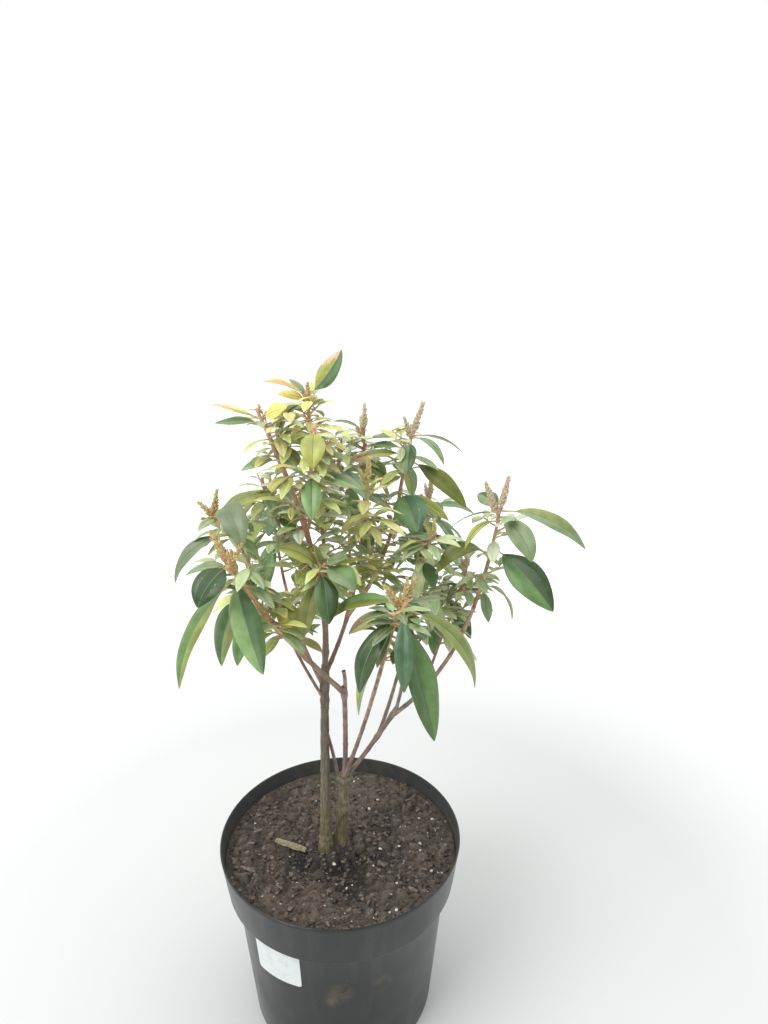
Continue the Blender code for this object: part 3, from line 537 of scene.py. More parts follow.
class Nodes:
    """A shader tree that is built up node by node."""

    def __init__(self, tree):
        self.tree = tree

    def node(self, kind, settings=None, sockets=None, output=0):
        """Add a node: its settings first, then the values or links of its sockets."""
        node = self.tree.nodes.new(kind)
        for key, value in (settings or {}).items():
            setattr(node, key, value)
        for key, value in (sockets or {}).items():
            self.set(node.inputs[key], value)
        return Wire(self, node.outputs[output])

    def set(self, socket, value):
        if isinstance(value, Wire):
            self.tree.links.new(value.socket, socket)
        else:
            socket.default_value = value

    def ramp(self, value, low, high):
        """How far the value lies from low to high, kept within 0 and 1."""
        sockets = {"Value": value, "From Min": low, "From Max": high}
        return self.node("ShaderNodeMapRange", None, sockets)

    def blend(self, share, first, second):
        return self.node("ShaderNodeMix", {"data_type": "RGBA"}, {0: share, 6: first, 7: second}, 2)


class Finish(Nodes):
    """A material on a Principled shader."""

    def __init__(self, name):
        self.material = bpy.data.materials.new(name)
        self.material.use_nodes = True
        super().__init__(self.material.node_tree)
        self.shader = self.tree.nodes["Principled BSDF"]

    def place(self, stretch=None):
        """The point on the surface, in metres, its axes stretched if asked."""
        place = self.node("ShaderNodeTexCoord", output="Object")
        if stretch is None:
            return place
        return self.node("ShaderNodeVectorMath", {"operation": "MULTIPLY"}, {0: place, 1: stretch})

    def height(self):
        return self.node("ShaderNodeSeparateXYZ", None, {0: self.place()}, "Z")

    def noise(self, scale, detail=4.0, roughness=0.55, stretch=None):
        sockets = {"Vector": self.place(stretch), "Scale": scale, "Detail": detail, "Roughness": roughness}
        return self.node("ShaderNodeTexNoise", None, sockets, "Fac")

    def near(self, spot, radius):
        """A soft mask round a spot given in millimetres."""
        middle = [c * MM for c in spot]
        sockets = {0: self.place(), 1: middle}
        distance = self.node("ShaderNodeVectorMath", {"operation": "DISTANCE"}, sockets, "Value")
        return self.ramp(distance, radius * MM, 0.35 * radius * MM)

    def bump(self, height, distance, strength=1.0):
        sockets = {"Height": height, "Distance": distance, "Strength": strength}
        self.set(self.shader.inputs["Normal"], self.node("ShaderNodeBump", None, sockets))

    def shade(self, **sockets):
        for key, value in sockets.items():
            self.set(self.shader.inputs[key.replace("_", " ")], value)
        return self.material


def linear(value):
    """The linear share of a 0 to 255 display value."""
    return ((value / 255 + 0.055) / 1.055) ** 2.4 if value > 10 else value / 3295


def colour(red, green, blue):
    """A colour from its display values."""
    return linear(red), linear(green), linear(blue), 1.0


# Leaf tones, shade and light: of the named leaves, and of all smaller ones. The smaller ones are painted
# lighter, painted light against the shade inside the crown, and shine more.
NAMED_GLOSS = 0.5
LEAF_GLOSS = 0.95
# The soft tone, here and below, and the bright one are a painted sheen: the pale grey-green of glossy
# leaves catching the light and the sky.
NAMED_TONES = {
    "dark": ((42, 66, 28), (62, 86, 44)),
    "deep": ((64, 92, 50), (86, 114, 66)),
    "teal": ((66, 96, 66), (88, 120, 86)),
    "mid": ((82, 114, 62), (108, 140, 82)),
    "bright": ((118, 148, 92), (146, 174, 116)),
    "soft": ((108, 128, 88), (134, 150, 110)),
    "sage": ((98, 113, 80), (123, 134, 101)),
    "fresh": ((112, 126, 58), (142, 152, 84)),
    "moss": ((88, 98, 26), (114, 121, 42)),
    "olive": ((124, 128, 68), (152, 154, 92)),
    "lime": ((143, 150, 68), (173, 176, 88)),
    "yellow": ((206, 184, 80), (228, 208, 116)),
    "blush": ((206, 152, 126), (228, 184, 158)),
    "rust": ((116, 92, 66), (146, 118, 84)),
    "rib": ((82, 108, 58), (106, 130, 80)),
}
LIGHTENED_LEAF_TONES = {
    "shade": ((82, 98, 60), (108, 124, 80)),
    "deep": ((126, 147, 99), (155, 175, 125)),
    "teal": ((126, 151, 110), (158, 178, 140)),
    "mid": ((158, 174, 117), (190, 202, 149)),
    "soft": ((182, 193, 163), (213, 219, 195)),
    "fresh": ((177, 187, 96), (209, 213, 129)),
    "olive": ((182, 175, 101), (211, 202, 131)),
    "lime": ((200, 201, 111), (226, 225, 141)),
    "yellow": ((212, 190, 88), (234, 214, 124)),
    "under": ((172, 182, 130), (202, 210, 160)),
    "rib": ((166, 176, 124), (192, 200, 148)),
}
TWIG_TONES = {
    "orange": ((200, 148, 110), (230, 182, 144)),
    "rosy": ((174, 132, 112), (212, 174, 148)),
    "red": ((160, 118, 98), (194, 154, 126)),
    "green": ((172, 160, 104), (200, 188, 130)),
    "petiole": ((176, 162, 114), (204, 190, 140)),
}
BUD_TONES = {
    "tan": ((184, 172, 142), (212, 202, 172)),
    "tan_tip": ((192, 162, 140), (216, 192, 170)),
    "orange": ((174, 144, 100), (204, 178, 130)),
    "orange_tip": ((186, 174, 114), (212, 198, 140)),
    "green": ((174, 172, 104), (202, 198, 128)),
    "green_tip": ((196, 174, 118), (220, 196, 142)),
}

# Loose bits on the soil: shade, light and the depth of their relief in millimetres
LOOSE_TONES = {
    "dark_crumb": ((50, 46, 42), (82, 75, 67), 0.5),
    "brown_crumb": ((72, 60, 51), (118, 100, 86), 0.5),
    "grey_crumb": ((80, 75, 68), (126, 118, 107), 0.5),
    "perlite": ((170, 168, 160), (216, 214, 206), 0.4),
    "fibre": ((80, 69, 58), (118, 103, 88), 0.1),
    "chip": ((112, 105, 86), (158, 149, 126), 0.3),
    "old_chip": ((88, 79, 66), (130, 118, 99), 0.3),
}


def leaf_skin(name, shade, light, gloss):
    finish = Finish(name)
    mottle = finish.ramp(finish.noise(95, 5.0), 0.32, 0.68)
    finish.bump(finish.noise(1100, 2.0), 0.05 * MM, 0.5)
    tone = finish.blend(mottle, colour(*shade), colour(*light))
    return finish.shade(Base_Color=tone, Roughness=0.36 + 0.14 * mottle, Specular_IOR_Level=gloss)


def twig_skin(name, shade, light):
    finish = Finish("twig_" + name)
    mottle = finish.ramp(finish.noise(420, 4.0), 0.35, 0.65)
    finish.bump(mottle, 0.12 * MM, 0.6)
    tone = finish.blend(mottle, colour(*shade), colour(*light))
    return finish.shade(Base_Color=tone, Roughness=0.5 + 0.1 * mottle)


def bud_skin(name, shade, light):
    finish = Finish("bud_" + name)
    mottle = finish.ramp(finish.noise(600, 3.0), 0.35, 0.65)
    finish.bump(mottle, 0.1 * MM, 0.5)
    tone = finish.blend(mottle, colour(*shade), colour(*light))
    return finish.shade(Base_Color=tone, Roughness=0.55 + 0.1 * mottle)


def stem_bark():
    """Old bark: grey-olive and mossy at the foot, browner higher up, with fine long cracks."""
    finish = Finish("stem_bark")
    height = finish.height()
    grain = finish.noise(700, 6.0, 0.65, (1, 1, 0.12))
    patch = finish.ramp(finish.noise(120, 5.0), 0.38, 0.62)
    old = finish.blend(patch, colour(126, 119, 87), colour(158, 151, 117))
    brown = finish.blend(patch, colour(110, 102, 88), colour(140, 128, 110))
    tone = finish.blend(finish.ramp(height + 0.05 * patch, 0.19, 0.27), old, brown)
    cracks = finish.ramp(grain, 0.6, 0.42)
    tone = finish.blend(0.55 * cracks, tone, colour(60, 50, 40))
    finish.bump(grain, 0.5 * MM, 0.8)
    return finish.shade(Base_Color=tone, Roughness=0.72 + 0.15 * patch)


def bough_bark():
    """Younger bark: grey-brown low down, warmer towards the shoots, with pale specks."""
    finish = Finish("bough_bark")
    grain = finish.noise(800, 5.0, 0.6, (1, 1, 0.2))
    patch = finish.ramp(finish.noise(160, 4.0), 0.36, 0.64)
    low = finish.blend(patch, colour(113, 100, 93), colour(149, 133, 122))
    high = finish.blend(patch, colour(176, 128, 102), colour(218, 170, 138))
    tone = finish.blend(finish.ramp(finish.height() + 0.04 * patch, 0.3, 0.46), low, high)
    tone = finish.blend(0.8 * finish.near((-16, -9, 345), 42), tone, colour(112, 98, 82))
    tone = finish.blend(0.55 * finish.near((5, -10, 265), 40), tone, colour(132, 98, 94))
    specks = finish.ramp(finish.noise(900, 2.0), 0.66, 0.72)
    tone = finish.blend(0.5 * specks, tone, colour(196, 172, 146))
    finish.bump(grain, 0.3 * MM, 0.7)
    return finish.shade(Base_Color=tone, Roughness=0.58 + 0.12 * patch)


def cut_wood():
    finish = Finish("cut_wood")
    rings = finish.ramp(finish.noise(1500, 3.0), 0.3, 0.7)
    tone = finish.blend(rings, colour(60, 46, 38), colour(104, 84, 64))
    finish.bump(rings, 0.1 * MM)
    return finish.shade(Base_Color=tone, Roughness=0.85)


def pot_plastic():
    """Moulded charcoal plastic with a film of dust and two dried mud marks at the front."""
    finish = Finish("pot_plastic")
    film = finish.ramp(finish.noise(16, 7.0, 0.6), 0.4, 0.7)
    streaks = finish.ramp(finish.noise(60, 4.0, 0.6, (1, 1, 0.08)), 0.52, 0.74)
    specks = finish.ramp(finish.noise(520, 2.0), 0.7, 0.76)
    tone = finish.blend(0.5 * film, colour(14, 16, 17), colour(27, 29, 29))
    tone = finish.blend(0.3 * streaks, tone, colour(74, 74, 71))
    tone = finish.blend(0.3 * specks, tone, colour(122, 121, 114))
    smear = finish.ramp(finish.noise(110, 5.0), 0.4, 0.62)
    marks = finish.near((3, -89, 86), 13) | finish.near((36, -82, 88), 11) | finish.near((-2, -87, 78), 9)
    tone = finish.blend(0.75 * smear * marks, tone, colour(104, 92, 74))
    finish.bump(finish.noise(1400, 2.0), 0.04 * MM, 0.5)
    rough = 0.3 + 0.16 * film + 0.3 * smear * marks
    return finish.shade(Base_Color=tone, Roughness=rough, Coat_Weight=0.15, Coat_Roughness=0.2)


def pot_lining():
    """The inside of the wall, dull with dried splashes of peat, and painted a paler grey than the charcoal
    outside: painted light against the shade inside the pot.
    """
    finish = Finish("pot_lining")
    splash = finish.ramp(finish.noise(150, 6.0, 0.65), 0.5, 0.66)
    # Painted light: a grey far paler than the charcoal outside; the browner splashes are peat.
    tone = finish.blend(0.7 * splash, colour(68, 71, 71), colour(92, 84, 73))
    finish.bump(splash, 0.2 * MM, 0.5)
    return finish.shade(Base_Color=tone, Roughness=0.5 + 0.35 * splash)


def peat():
    """Brown peat, redder here and there. Painted shade makes it near black low in its relief and in the
    hollows in front of the stems; painted light makes it paler at the back.
    """
    finish = Finish("peat")
    clump = finish.ramp(finish.noise(70, 6.0, 0.6), 0.35, 0.68)
    fleck = finish.ramp(finish.noise(520, 4.0, 0.6), 0.48, 0.7)
    ruddy = finish.ramp(finish.noise(26, 4.0), 0.52, 0.7)
    # Painted shade: the low parts of the relief near black, the higher parts lit brown.
    shade_by_height = finish.ramp(finish.height(), SOIL_TOP - 2.0 * MM, SOIL_TOP + 2.4 * MM)
    tone = finish.blend(shade_by_height, colour(26, 24, 22), colour(98, 90, 81))
    tone = finish.blend(0.35 * clump, tone, colour(88, 80, 71))
    tone = finish.blend(0.42 * (finish.near((-38, -66, 152), 42) | 0.8 * ruddy), tone, colour(98, 79, 66))
    tone = finish.blend(0.4 * fleck, tone, colour(120, 111, 99))
    # Painted light: paler peat at the back, against the shade of the crown and the wall.
    tone = finish.blend(0.4 * finish.near((0, 66, 152), 60), tone, colour(112, 104, 92))
    # Painted shade: near black in the hollows in front of the stems, under the crown.
    front_shade = finish.near((4, -34, 152), 34) | finish.near((-32, -24, 152), 22)
    tone = finish.blend(0.8 * front_shade, tone, colour(32, 29, 27))
    finish.bump(finish.noise(900, 5.0, 0.7), 0.9 * MM)
    return finish.shade(Base_Color=tone, Roughness=0.86 + 0.1 * clump)


def crumb(name, shade, light, relief):
    """Loose bits on the soil: peat crumbs, perlite, root fibres and chips of bark."""
    finish = Finish(name)
    mottle = finish.ramp(finish.noise(420, 4.0), 0.35, 0.65)
    finish.bump(finish.noise(1600, 3.0), relief)
    tone = finish.blend(mottle, colour(*shade), colour(*light))
    return finish.shade(Base_Color=tone, Roughness=0.85 + 0.1 * mottle)


def label_paper():
    finish = Finish("label_paper")
    smudge = finish.ramp(finish.noise(90, 5.0), 0.5, 0.75)
    tone = finish.blend(0.5 * smudge, colour(226, 230, 229), colour(190, 194, 192))
    finish.bump(finish.noise(500, 3.0), 0.05 * MM, 0.5)
    return finish.shade(Base_Color=tone, Roughness=0.42 + 0.2 * smudge)


def studio_floor():
    """A pale floor that turns white with distance, as painted light from the floor itself, so that no
    horizon shows.
    """
    finish = Finish("studio_floor")
    cloud = finish.noise(2, 2.0)
    near = finish.near((0, 60, 0), 1100)
    tone = finish.blend(cloud, colour(206, 208, 206), colour(211, 213, 211))
    # Painted light: the floor gives off light, more the further it lies from the pot, though it is no lamp.
    painted_glow = finish.blend(near, (0.6, 0.6, 0.6, 1), (0, 0, 0, 1))
    return finish.shade(Base_Color=tone, Roughness=0.9, Emission_Color=painted_glow, Emission_Strength=1.0)


def make_finishes():
    finishes = {}
    for name, (shade, light) in LIGHTENED_LEAF_TONES.items():
        finishes["leaf_" + name] = leaf_skin("leaf_" + name, shade, light, LEAF_GLOSS)
    for name, (shade, light) in NAMED_TONES.items():
        finishes["named_" + name] = leaf_skin("named_" + name, shade, light, NAMED_GLOSS)
    for name, (shade, light) in TWIG_TONES.items():
        finishes["twig_" + name] = twig_skin(name, shade, light)
    for name, (shade, light) in BUD_TONES.items():
        finishes["bud_" + name] = bud_skin(name, shade, light)
    finishes["stem_bark"] = stem_bark()
    finishes["bough_bark"] = bough_bark()
    finishes["cut_wood"] = cut_wood()
    finishes["pot_plastic"] = pot_plastic()
    finishes["pot_lining"] = pot_lining()
    finishes["peat"] = peat()
    for name, (shade, light, relief) in LOOSE_TONES.items():
        finishes[name] = crumb(name, shade, light, relief * MM)
    finishes["label_paper"] = label_paper()
    return finishes


class Bundle:
    """Many small shapes joined into one mesh, each face with its own finish."""

    def __init__(self):
        self.verts = []
        self.faces = []
        self.finishes = []

    def add(self, shape, finish):
        """Add a shape; finish is a name, or a function from a face's number to a name."""
        verts, faces = shape
        start = len(self.verts)
        self.verts.extend(verts)
        for number, face in enumerate(faces):
            self.faces.append([start + v for v in face])
            self.finishes.append(finish if isinstance(finish, str) else finish(number))

    def make(self, name, slot, finishes, sharp=40):
        mesh = bpy.data.meshes.new(name)
        mesh.from_pydata([tuple(v) for v in self.verts], [], self.faces)
        used = sorted(set(self.finishes))
        for finish in used:
            mesh.materials.append(finishes[finish])
        numbers = {finish: k for k, finish in enumerate(used)}
        mesh.polygons.foreach_set("material_index", [numbers[finish] for finish in self.finishes])
        mesh.shade_smooth()
        mesh.set_sharp_from_angle(angle=math.radians(sharp))
        piece = add_object(name, mesh)
        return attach(piece, "root")


def add_object(name, data):
    obj = bpy.data.objects.new(name, data)
    bpy.context.scene.collection.objects.link(obj)
    return obj


def skin(rings):
    """Join rings of points into one closed skin; a ring of one point is a tip."""
    verts = []
    faces = []
    starts = []
    for ring in rings:
        starts.append(len(verts))
        verts.extend(ring)
    count = max(len(ring) for ring in rings)
    for k in range(len(rings) - 1):
        low, high = starts[k], starts[k + 1]
        for i in range(count):
            j = (i + 1) % count
            if len(rings[k]) == 1:
                faces.append((low, high + j, high + i))
            elif len(rings[k + 1]) == 1:
                faces.append((low + i, low + j, high))
            else:
                faces.append((low + i, low + j, high + j, high + i))
    if len(rings[0]) > 1:
        faces.append(tuple(range(count))[::-1])
    if len(rings[-1]) > 1:
        faces.append(tuple(starts[-1] + i for i in range(count)))
    return verts, faces


def turned(profile, segments):
    """Rings of a profile of (radius, height) points turned round the Z axis."""
    rings = []
    for radius, height in profile:
        count = segments if radius else 1
        angles = [2 * math.pi * i / segments for i in range(count)]
        rings.append([Vector((radius * math.cos(a), radius * math.sin(a), height)) for a in angles])
    return rings


def pointing(heading, rise):
    """The direction with a heading and a rise in degrees."""
    heading = math.radians(heading)
    rise = math.radians(rise)
    flat = math.cos(rise)
    return Vector((math.cos(heading) * flat, math.sin(heading) * flat, math.sin(rise)))


def around(across, up, sides, start=0.0, sense=-1):
    """Directions round an axis in even steps, from a start counted in steps."""
    angles = [sense * 2 * math.pi * (i + start) / sides for i in range(sides)]
    return [across * math.cos(angle) + up * math.sin(angle) for angle in angles]


def body_radius(height):
    """Outer radius of the pot's tapering body, under its rim band."""
    return BASE_RADIUS + (BODY_TOP_RADIUS - BASE_RADIUS) * height / BAND_FOOT


def band_radius(height):
    """Outer radius of the rim band."""
    share = (height - BAND_FOOT) / (POT_HEIGHT - BAND_FOOT)
    return BAND_FOOT_RADIUS + (RIM_RADIUS - BAND_FOOT_RADIUS) * share


def pot_inside():
    """The pot's inner wall from its floor up, as (radius, height) points."""
    step = BAND_FOOT - SHOULDER
    lift = 0.6 * WALL
    return [
        (body_radius(FLOOR) - WALL, FLOOR),
        (body_radius(step) - WALL, step + lift),
        (band_radius(BAND_FOOT) - WALL, BAND_FOOT + lift),
        (RIM_RADIUS - WALL, POT_HEIGHT - BEVEL / 2),
    ]


def arc(radius, height, size, start, end, steps=4):
    """Points of a round edge about a centre, from one angle to another in degrees."""
    points = []
    for k in range(steps + 1):
        angle = math.radians(start + (end - start) * k / steps)
        points.append((radius + size * math.cos(angle), height + size * math.sin(angle)))
    return points


def make_pot(finishes):
    """The pot with round edges and a soft lip, and its drain holes cut through the floor."""
    lip = WALL / 2
    step = BAND_FOOT - SHOULDER
    outside = [(0, 0), (DRAIN_RING - 2 * DRAIN_RADIUS, 0), (DRAIN_RING + 2 * DRAIN_RADIUS, 0)]
    outside += arc(BASE_RADIUS - BEVEL, BEVEL, BEVEL, -90, 0)
    outside += [(body_radius(step * k / 4), step * k / 4) for k in (1, 2, 3)]
    outside += [(body_radius(step), step), (body_radius(step) + 0.6 * MM, step + 1.4 * MM)]
    outside += [(BAND_FOOT_RADIUS - 1.0 * MM, BAND_FOOT - 0.4 * MM)]
    outside += arc(BAND_FOOT_RADIUS - BEVEL, BAND_FOOT + BEVEL, BEVEL, -70, 0)
    outside += [(band_radius(POT_HEIGHT - k * MM), POT_HEIGHT - k * MM) for k in (24, 12, 4)]
    outside += arc(RIM_RADIUS - lip, POT_HEIGHT - lip, lip, 0, 180, 8)
    inside = pot_inside()[::-1][1:] + [(0, FLOOR)]
    bundle = Bundle()
    outer_faces = (len(outside) - 1) * POT_SEGMENTS
    plastic_faces = outer_faces - 2 * POT_SEGMENTS
    bundle.add(
        skin(turned(outside + inside, POT_SEGMENTS)),
        lambda number: "pot_plastic" if number < plastic_faces else "pot_lining",
    )
    pot = bundle.make("pot_shell", "pot", finishes, 30)
    cut_drain_holes(pot)
    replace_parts(pot, "pot")


def cut_drain_holes(pot):
    holes = Bundle()
    for k in range(DRAIN_HOLES):
        angle = 2 * math.pi * (k + 0.5) / DRAIN_HOLES
        middle = Vector((DRAIN_RING * math.cos(angle), DRAIN_RING * math.sin(angle), 0))
        verts, faces = skin(turned([(DRAIN_RADIUS, -FLOOR), (DRAIN_RADIUS, 2 * FLOOR)], DRAIN_SEGMENTS))
        holes.add(([middle + v for v in verts], faces), "pot_plastic")
    mesh = bpy.data.meshes.new("drain_holes")
    mesh.from_pydata([tuple(v) for v in holes.verts], [], holes.faces)
    cutter = add_object("drain_holes", mesh)
    boolean = pot.modifiers.new("drain_holes", "BOOLEAN")
    boolean.operation = "DIFFERENCE"
    boolean.object = cutter
    graph = bpy.context.evaluated_depsgraph_get()
    cut = bpy.data.meshes.new_from_object(pot.evaluated_get(graph))
    pot.modifiers.clear()
    pot.data = cut
    bpy.data.objects.remove(cutter, do_unlink=True)


def from_stems(x, y):
    """Distance of a spot on the soil from the nearer stem."""
    return min(math.hypot(x - fx * MM, y - fy * MM) for fx, fy in FEET.values())


def waves(place, relief):
    depth, pitch = relief
    return depth * noise.noise(place * pitch)


def lumps(place, relief):
    """Round lumps with sharp valleys between them."""
    depth, pitch = relief
    return depth * (2 * abs(noise.noise(place * pitch)) - 0.4)


def soil_height(x, y, share):
    """Height of the soil's surface: low bumps, round clods and hollows, level round the stems."""
    place = Vector((x, y, 0))
    nearest = from_stems(x, y)
    fade = min(1, max(0, nearest / LEVEL_ROUND_STEMS - 1)) * min(1, 4 * (1 - share))
    rough = lumps(place, CLODS) + lumps(place, CRUMBLE) + waves(place, GRAINS)
    hollow = 0
    for hx, hy, size, depth in HOLLOWS:
        away = math.hypot(x - hx * MM, y - hy * MM) / (size * MM)
        hollow += depth * MM * math.exp(-away * away)
    settle = min(1, nearest / STEM_CLEARANCE) * min(1, 8 * (1 - share) + 0.3)
    return SOIL_TOP + fade * waves(place, BUMPS) + settle * (rough - hollow)


def soil_radius():
    return band_radius(SOIL_TOP) - WALL - GAP


def make_soil(finishes):
    """The block of peat: plain against the pot's wall and floor, rough on its top."""
    wall = [(radius - GAP, height + GAP) for radius, height in pot_inside()[:-1]]
    rings = turned([(0, FLOOR + GAP)] + wall + [(soil_radius(), SOIL_TOP)], SOIL_SEGMENTS)
    for k in range(1, SOIL_RINGS):
        share = 1 - k / SOIL_RINGS
        ring = []
        for i in range(SOIL_SEGMENTS):
            angle = 2 * math.pi * i / SOIL_SEGMENTS
            x = soil_radius() * share * math.cos(angle)
            y = soil_radius() * share * math.sin(angle)
            ring.append(Vector((x, y, soil_height(x, y, share))))
        rings.append(ring)
    rings.append([Vector((0, 0, SOIL_TOP))])
    bundle = Bundle()
    bundle.add(skin(rings), "peat")
    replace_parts(bundle.make("soil_bed", "soil", finishes, 180), "soil")


def lump(middle, size, dice, squash, stretch):
    """An irregular little lump, squashed from above and stretched to one side."""
    spin = dice.uniform(0, 360)
    ahead = pointing(spin, 0)
    beside = pointing(spin + 90, 0)
    rings = []
    for rise, width, count in ((-1, 0, 1), (-0.5, 0.85, 5), (0.45, 0.9, 5), (1, 0, 1)):
        ring = []
        for i in range(count):
            angle = 2 * math.pi * (i + 0.25 * rise) / 5
            reach = size / 2 * width * dice.uniform(0.75, 1.2)
            point = ahead * math.cos(angle) * reach * stretch + beside * math.sin(angle) * reach
            ring.append(middle + point + Vector((0, 0, size / 2 * rise * squash)))
        rings.append(ring)
    return skin(rings)


def soil_spot(dice, edge=0.95):
    """A point on the soil's surface, clear of the stems."""
    while True:
        share = math.sqrt(dice.random()) * edge
        spot = pointing(dice.uniform(0, 360), 0) * soil_radius() * share
        if from_stems(spot.x, spot.y) > STEM_CLEARANCE:
            return Vector((spot.x, spot.y, soil_height(spot.x, spot.y, share)))


def make_crumbs(finishes):
    """Crumbs of peat, most of them small and dark."""
    dice = random.Random("crumbs")
    bundle = Bundle()
    for _ in range(CRUMBS):
        size = (CRUMB_SIZE + CRUMB_RANGE * dice.random() ** CRUMB_RARITY) * MM
        tone = dice.choice(("dark_crumb", "dark_crumb", "brown_crumb", "grey_crumb"))
        bundle.add(lump(soil_spot(dice, EDGE_CLEARANCE), size, dice, 0.8, dice.uniform(1, 1.5)), tone)
    bundle.make("peat_crumbs", "soil", finishes)


def make_perlite(finishes):
    """White grains, thickest towards the front and the right of the pot."""
    dice = random.Random("perlite")
    bundle = Bundle()
    placed = 0
    while placed < PERLITE_GRAINS:
        spot = soil_spot(dice)
        if dice.random() < 0.45 + 3 * spot.x - 3 * spot.y:
            size = dice.uniform(*(SMALL_GRAINS if dice.random() < SMALL_SHARE else LARGE_GRAINS))
            place = spot + Vector((0, 0, 0.2 * size * MM))
            bundle.add(lump(place, size * MM, dice, 0.7, dice.uniform(1, 1.8)), "perlite")
            placed += 1
    bundle.make("perlite_grains", "soil", finishes)


def strand(start, heading, length, radius, dice):
    """A thin bent fibre that lies on the soil, a little higher in its middle."""
    rings = []
    bend = dice.uniform(-FIBRE_BEND, FIBRE_BEND)
    point = start.copy()
    for k in range(FIBRE_STEPS + 1):
        share = k / FIBRE_STEPS
        way = pointing(heading + bend * share, 0)
        beside = Vector((-way.y, way.x, 0))
        reach = min(EDGE_CLEARANCE, math.hypot(point.x, point.y) / soil_radius())
        arch = (1 + 0.9 * math.sin(math.pi * share)) * FIBRE_LIFT * MM
        middle = Vector((point.x, point.y, soil_height(point.x, point.y, reach) + arch))
        thick = radius * (1 - 0.5 * share)
        rings.append([middle + out * thick for out in around(beside, Vector((0, 0, 1)), 4)])
        point += way * length / FIBRE_STEPS
    return skin(rings)


def make_fibres(finishes):
    dice = random.Random("fibres")
    bundle = Bundle()
    for _ in range(FIBRES):
        start = soil_spot(dice, 0.86)
        length = dice.uniform(*FIBRE_LENGTH) * MM
        radius = dice.uniform(*FIBRE_RADIUS) * MM
        bundle.add(strand(start, dice.uniform(0, 360), length, radius, dice), "fibre")
    bundle.make("root_fibres", "soil", finishes)


def chip(start, end, width, thick, dice):
    """A long chip of wood with ragged ends, lying between two points."""
    way = (end - start).normalized()
    beside = Vector((-way.y, way.x, 0)).normalized()
    up = way.cross(beside)
    rings = []
    for k in range(CHIP_STEPS + 1):
        share = k / CHIP_STEPS
        half = width / 2 * (0.35 + 0.65 * math.sin(math.pi * min(0.92, max(0.08, share))) ** 0.5)
        half *= dice.uniform(0.88, 1.1)
        middle = start + (end - start) * share + beside * dice.uniform(-0.06, 0.06) * width
        tall = thick / 2 * dice.uniform(0.85, 1.15)
        ring = []
        for side, rise in ((1, 0), (0.6, 1), (-0.55, 1), (-1, 0), (-0.6, -1), (0.6, -1)):
            ring.append(middle + beside * half * side + up * tall * rise)
        rings.append(ring)
    return skin(rings)


def make_chips(finishes):
    """The pale chip left of the stems, the larger bits of bark, and scraps all over."""
    dice = random.Random("chips")
    bundle = Bundle()
    lift = Vector((0, 0, CHIP_LIFT))
    *ends, width, thick = PALE_CHIP
    start, end = [Vector((x * MM, y * MM, SOIL_TOP)) + lift for x, y in ends]
    bundle.add(chip(start, end, width * MM, thick * MM, dice), "chip")
    for x, y, heading, length in BARK_CHIPS:
        start = Vector((x * MM, y * MM, SOIL_TOP)) + 0.8 * lift
        end = start + pointing(heading, 4) * length * MM
        bundle.add(chip(start, end, BARK_CHIP_WIDTH, BARK_CHIP_THICKNESS, dice), "old_chip")
    for _ in range(SCRAPS):
        start = soil_spot(dice, 0.85) + 0.5 * lift
        way = pointing(dice.uniform(0, 360), dice.uniform(-6, 8))
        end = start + way * dice.uniform(*SCRAP_LENGTH) * MM
        width = dice.uniform(*SCRAP_WIDTH) * MM
        thick = dice.uniform(*SCRAP_THICKNESS) * MM
        bundle.add(chip(start, end, width, thick, dice), "old_chip")
    bundle.make("bark_chips", "soil", finishes)


def make_label(finishes):
    """A thin bare sticker bent round the pot's body, slightly askew, with round corners."""
    span = math.radians(LABEL_TO - LABEL_FROM) * body_radius(LABEL_MIDDLE)
    rings = []
    for k in range(LABEL_STEPS + 1):
        share = 0.5 - 0.5 * math.cos(math.pi * k / LABEL_STEPS)
        inset = LABEL_CORNER - min(share, 1 - share) * span
        trim = 0.0
        if inset > 0:
            trim = LABEL_CORNER - math.sqrt(max(0.0, LABEL_CORNER ** 2 - inset ** 2))
        angle = math.radians(LABEL_FROM + (LABEL_TO - LABEL_FROM) * share)
        half = LABEL_HEIGHT / 2 - min(trim, 0.9 * LABEL_CORNER)
        ring = []
        for side, layer in ((-1, 0), (0, 0), (1, 0), (1, 1), (0, 1), (-1, 1)):
            height = LABEL_MIDDLE + side * half + LABEL_TILT * (share - 0.5)
            radius = body_radius(height) + LABEL_LIFT + layer * LABEL_THICKNESS
            ring.append(Vector((radius * math.cos(angle), radius * math.sin(angle), height)))
        rings.append(ring)
    bundle = Bundle()
    bundle.add(skin(rings), "label_paper")
    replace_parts(bundle.make("label_sheet", "label", finishes), "label")


